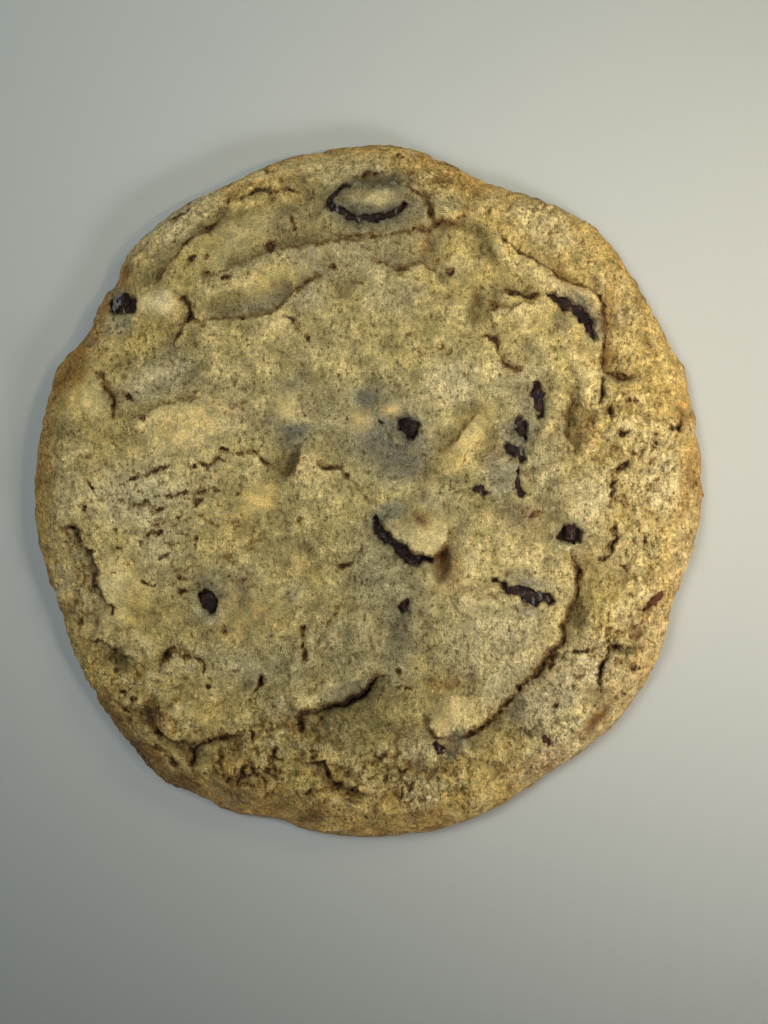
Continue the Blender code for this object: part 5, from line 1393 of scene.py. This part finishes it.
class Look:
    """A material and the nodes that it is built from."""

    def __init__(self, name):
        self.material = bpy.data.materials.new(name)
        self.material.use_nodes = True
        self.nodes = self.material.node_tree.nodes
        self.links = self.material.node_tree.links
        self.shader = self.nodes["Principled BSDF"]
        self.place = self.nodes.new("ShaderNodeTexCoord").outputs["Object"]

    def set(self, socket, value):
        if isinstance(value, bpy.types.NodeSocket):
            self.links.new(value, socket)
        elif isinstance(value, tuple) and len(value) == 3:
            socket.default_value = (*value, 1.0)
        else:
            socket.default_value = value

    def noise(self, size, detail=2.0, roughness=0.5, distortion=0.0, stretch=None):
        node = self.nodes.new("ShaderNodeTexNoise")
        node.inputs["Scale"].default_value = 1.0 / (size * MM)
        node.inputs["Detail"].default_value = detail
        node.inputs["Roughness"].default_value = roughness
        node.inputs["Distortion"].default_value = distortion
        place = self.place
        if stretch:
            mapping = self.nodes.new("ShaderNodeMapping")
            mapping.inputs["Scale"].default_value = stretch
            self.links.new(place, mapping.inputs["Vector"])
            place = mapping.outputs["Vector"]
        self.links.new(place, node.inputs["Vector"])
        return node.outputs["Fac"]

    def pores(self, spacing, share):
        """Small dark holes at some of the scattered points, uneven in shape."""
        node = self.nodes.new("ShaderNodeTexVoronoi")
        node.inputs["Scale"].default_value = 1.0 / (spacing * MM)
        uneven = self.nodes.new("ShaderNodeTexNoise")
        uneven.inputs["Scale"].default_value = 1.0 / (0.4 * MM)
        self.links.new(self.place, uneven.inputs["Vector"])
        offset = self.nodes.new("ShaderNodeVectorMath")
        offset.operation = "MULTIPLY_ADD"
        self.links.new(uneven.outputs["Color"], offset.inputs[0])
        offset.inputs[1].default_value = (0.6 * MM, 0.6 * MM, 0.6 * MM)
        self.links.new(self.place, offset.inputs[2])
        self.links.new(offset.outputs["Vector"], node.inputs["Vector"])
        split = self.nodes.new("ShaderNodeSeparateColor")
        self.links.new(node.outputs["Color"], split.inputs["Color"])
        chosen = self.between(split.outputs["Red"], share, share + 0.3)
        return self.math("MULTIPLY", chosen, self.between(node.outputs["Distance"],
                                                          0.10, 0.24, 0.8, 0.0))

    def attribute(self, name):
        node = self.nodes.new("ShaderNodeAttribute")
        node.attribute_name = name
        return node.outputs["Fac"]

    def math(self, operation, first, second=0.0):
        node = self.nodes.new("ShaderNodeMath")
        node.operation = operation
        self.set(node.inputs[0], first)
        self.set(node.inputs[1], second)
        return node.outputs["Value"]

    def between(self, value, low, high, new_low=0.0, new_high=1.0):
        """The value's range from low to high, stretched to a new range and cut off at its ends."""
        node = self.nodes.new("ShaderNodeMapRange")
        node.interpolation_type = "SMOOTHSTEP"
        self.set(node.inputs["Value"], value)
        node.inputs["From Min"].default_value = low
        node.inputs["From Max"].default_value = high
        node.inputs["To Min"].default_value = new_low
        node.inputs["To Max"].default_value = new_high
        return node.outputs["Result"]

    def mix(self, share, first, second, blend="MIX"):
        node = self.nodes.new("ShaderNodeMix")
        node.data_type = "RGBA"
        node.blend_type = blend
        self.set(node.inputs["Factor"], share)
        self.set(node.inputs["A"], first)
        self.set(node.inputs["B"], second)
        return node.outputs["Result"]

    def part(self, name, share):
        """An attribute, weakened or masked by a share."""
        return self.math("MULTIPLY", self.attribute(name), share)

    def weighed(self, first, first_share, second, second_share):
        return self.math("ADD", self.math("MULTIPLY", first, first_share),
                         self.math("MULTIPLY", second, second_share))

    def bump(self, height, distance):
        node = self.nodes.new("ShaderNodeBump")
        node.inputs["Distance"].default_value = distance * MM
        self.links.new(height, node.inputs["Height"])
        self.links.new(node.outputs["Normal"], self.shader.inputs["Normal"])


def dough_look():
    look = Look("baked_dough_look")
    coarse = look.noise(9.0, 4.0, 0.6)
    middle = look.noise(2.2, 4.0, 0.65)
    fine = look.noise(0.8, 3.0, 0.65)
    speck = look.noise(0.42, 3.0, 0.7, 0.3, (1.0, 0.5, 0.8))
    grain = look.noise(0.22, 2.0, 0.6)
    dash = look.noise(0.55, 2.0, 0.6, 0.8, (1.0, 0.36, 0.7))
    flake = look.noise(2.6, 4.0, 0.7)
    bare = look.math("SUBTRACT", 1.0, look.attribute("smooth"))
    colour = look.mix(look.between(coarse, 0.35, 0.65), TONES["crumb"], TONES["light_crumb"])

    def lay(share, tone, blend="MIX"):
        return look.mix(share, colour, TONES[tone], blend)

    def brighten(values, low, high, new_low, new_high):
        shares = look.between(values, low, high, new_low, new_high)
        return look.mix(1.0, colour, shares, "MULTIPLY")

    colour = lay(look.part("rim", 0.8), "rim")
    # painted light: the outer ring brightened against the shade of its sloping sides
    colour = lay(look.attribute("painted_light_outward"), "painted_light_outward", "MULTIPLY")
    colour = lay(look.part("toasted", look.between(middle, 0.30, 0.62)), "toasted")
    # golden is the crust's own colour; the other two add a painted highlight on raised places and
    # painted shade in hollows
    for name, share in (("golden", 0.8), ("peak_painted_highlight", 0.7), ("hollow_painted_shade", 0.8)):
        colour = lay(look.part(name, share), name)
    bleed = look.part("bleed", look.between(middle, 0.25, 0.55, 0.45, 1.0))
    colour = lay(bleed, "bleed")
    stain = look.math("MULTIPLY", look.between(bleed, 0.45, 0.90, 0.0, 0.85),
                      look.between(speck, 0.36, 0.60, 0.1, 1.0))
    colour = lay(stain, "stain")
    # the pale layer is lighter dough with painted light on lit places
    for name, share in (("honey", 0.85), ("pale_and_painted_light", 0.8), ("clod", 0.5), ("gully", 0.7)):
        colour = lay(look.part(name, share), name)
    # olive, moister dough, and painted shade beside folds, creases and pits
    colour = lay(look.attribute("olive_and_painted_shade"), "olive_and_painted_shade")
    # browned crust, with painted shade beside the right rim's crease and the right pit
    colour = lay(look.part("crust_and_painted_shade", look.between(middle, 0.15, 0.48)), "crust_and_painted_shade")
    colour = lay(look.part("brown", look.between(fine, 0.25, 0.55)), "brown")
    rough = look.math("SUBTRACT", look.weighed(fine, 0.55, speck, 0.45), ROUGH_MIDDLE)
    rough = look.math("ADD", look.math("MULTIPLY", rough, bare), ROUGH_MIDDLE)
    flakes = look.part("rim", look.between(flake, 0.50, 0.60))
    colour = lay(look.math("MULTIPLY", flakes, 0.55), "flake")
    colour = brighten(middle, 0.34, 0.66, 0.76, 1.22)
    colour = lay(look.between(rough, 0.34, 0.50, 1.0, 0.0), "low_grain", "MULTIPLY")
    colour = brighten(rough, 0.51, 0.66, 1.0, 1.50)
    colour = brighten(grain, 0.30, 0.70, 0.74, 1.26)
    dashes = look.math("MULTIPLY", look.between(dash, 0.60, 0.70, 0.0, 0.75), bare)
    colour = lay(dashes, "dash", "MULTIPLY")
    colour = lay(look.part("shade", 0.7), "shade", "MULTIPLY")
    for tone, spacing, share in (("large_pore", 1.2, 0.45), ("small_pore", 0.75, 0.55)):
        colour = lay(look.math("MULTIPLY", look.pores(spacing, share), bare), tone)
    # painted shade in cracks and creases, partly the moist inner dough: golden-brown at their sides,
    # near black at their floors, by their depth
    ragged = look.weighed(fine, 0.4, speck, 0.6)
    depth = look.part("depth", look.between(ragged, 0.40, 0.60, 1.7, 0.45))
    colour = lay(look.between(depth, 0.05, 0.45, 0.0, 0.8), "crack_side_painted_shade")
    colour = lay(look.between(depth, 0.45, 0.95, 0.0, 0.95), "crack_floor_painted_shade")
    base = look.mix(look.between(middle, 0.35, 0.6), TONES["base"], TONES["light_base"])
    colour = look.mix(look.attribute("underside"), colour, base)
    colour = lay(look.attribute("window"), "window")
    look.set(look.shader.inputs["Base Color"], colour)
    look.set(look.shader.inputs["Roughness"], look.between(middle, 0.3, 0.7, 0.72, 0.92))
    look.shader.inputs["Specular IOR Level"].default_value = 0.35
    height = look.math("ADD", rough, look.math("MULTIPLY", grain, 0.2))
    look.bump(height, 1.6)
    return look.material


def chocolate_look():
    look = Look("softened_chocolate_look")
    middle = look.noise(1.6, 3.0, 0.6)
    streak = look.noise(0.7, 3.0, 0.6, 0.6)
    colour = look.mix(look.between(middle, 0.40, 0.65), COCOA["dark"], COCOA["light"])
    colour = look.mix(look.between(streak, 0.60, 0.70, 0.0, 0.6), colour, COCOA["streak"])
    # grey bloom, partly painted glints on every chip
    bloom_and_painted_glint = look.noise(0.75, 3.0, 0.65, 0.4, (1.0, 0.32, 0.6))
    colour = look.mix(look.between(bloom_and_painted_glint, 0.60, 0.68, 0.0, 0.7), colour, COCOA["bloom_and_painted_glint"])
    frost = look.noise(0.9, 3.0, 0.6, 0.3, (1.0, 0.3, 0.6))
    frost = look.part("frost", look.between(frost, 0.50, 0.60, 0.0, 0.8))
    colour = look.mix(frost, colour, COCOA["frost"])
    colour = look.mix(look.attribute("rust"), colour, COCOA["rust"])
    look.set(look.shader.inputs["Base Color"], colour)
    look.set(look.shader.inputs["Roughness"], look.between(streak, 0.35, 0.65, 0.55, 0.35))
    look.shader.inputs["Specular IOR Level"].default_value = 0.25
    look.bump(streak, 0.5)
    return look.material


# ---------------------------------------------------------------- scene

def simple_material(name, colour, roughness):
    material = bpy.data.materials.new(name)
    material.use_nodes = True
    shader = material.node_tree.nodes["Principled BSDF"]
    shader.inputs["Base Color"].default_value = (*colour, 1.0)
    shader.inputs["Roughness"].default_value = roughness
    return material


def make_camera():
    camera = bpy.data.objects.new("camera", bpy.data.cameras.new("camera"))
    camera.data.lens = CAMERA_LENS
    camera.data.sensor_width = SENSOR_WIDTH
    camera.location = CAMERA_PLACE
    bpy.context.scene.collection.objects.link(camera)
    bpy.context.scene.camera = camera


def area_light(name, place, target, size, energy, colour, spread):
    light = bpy.data.lights.new(name, "AREA")
    light.shape = "DISK"
    light.size = size
    light.energy = energy
    light.color = colour
    light.spread = math.radians(spread)
    lamp = bpy.data.objects.new(name, light)
    lamp.location = place
    lamp.rotation_euler = (Vector(target) - Vector(place)).to_track_quat("-Z", "Y").to_euler()
    bpy.context.scene.collection.objects.link(lamp)


def make_stage():
    shell = bmesh.new()
    bmesh.ops.create_grid(shell, x_segments=1, y_segments=1, size=FLOOR_HALF_SIDE)
    floor = mesh_object("floor", shell)
    floor.data.materials.append(simple_material("pale_floor", FLOOR_COLOUR, 0.7))
    for name, settings in LIGHTS.items():
        area_light(name, *settings)
    world = bpy.data.worlds.new("studio")
    world.use_nodes = True
    background = world.node_tree.nodes["Background"]
    background.inputs["Color"].default_value = WORLD_COLOUR
    background.inputs["Strength"].default_value = WORLD_STRENGTH
    bpy.context.scene.world = world
    bpy.context.scene.view_settings.view_transform = "Standard"


def add_piece(piece, material, slot, *nodes):
    piece.data.materials.append(material)
    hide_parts(*nodes)
    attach(piece, "root")


def make_cookie():
    baked = dough_look()
    add_piece(make_skin(), baked, "baked_dough", "dough")
    add_piece(make_crumbs(), baked, "baked_dough")
    chocolate = chocolate_look()
    for name, (points, depth) in WINDOWS.items():
        nodes = (name,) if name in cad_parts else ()
        add_piece(make_chip("soft_" + name, points, depth), chocolate, "chocolate", *nodes)


make_camera()
make_stage()
make_cookie()
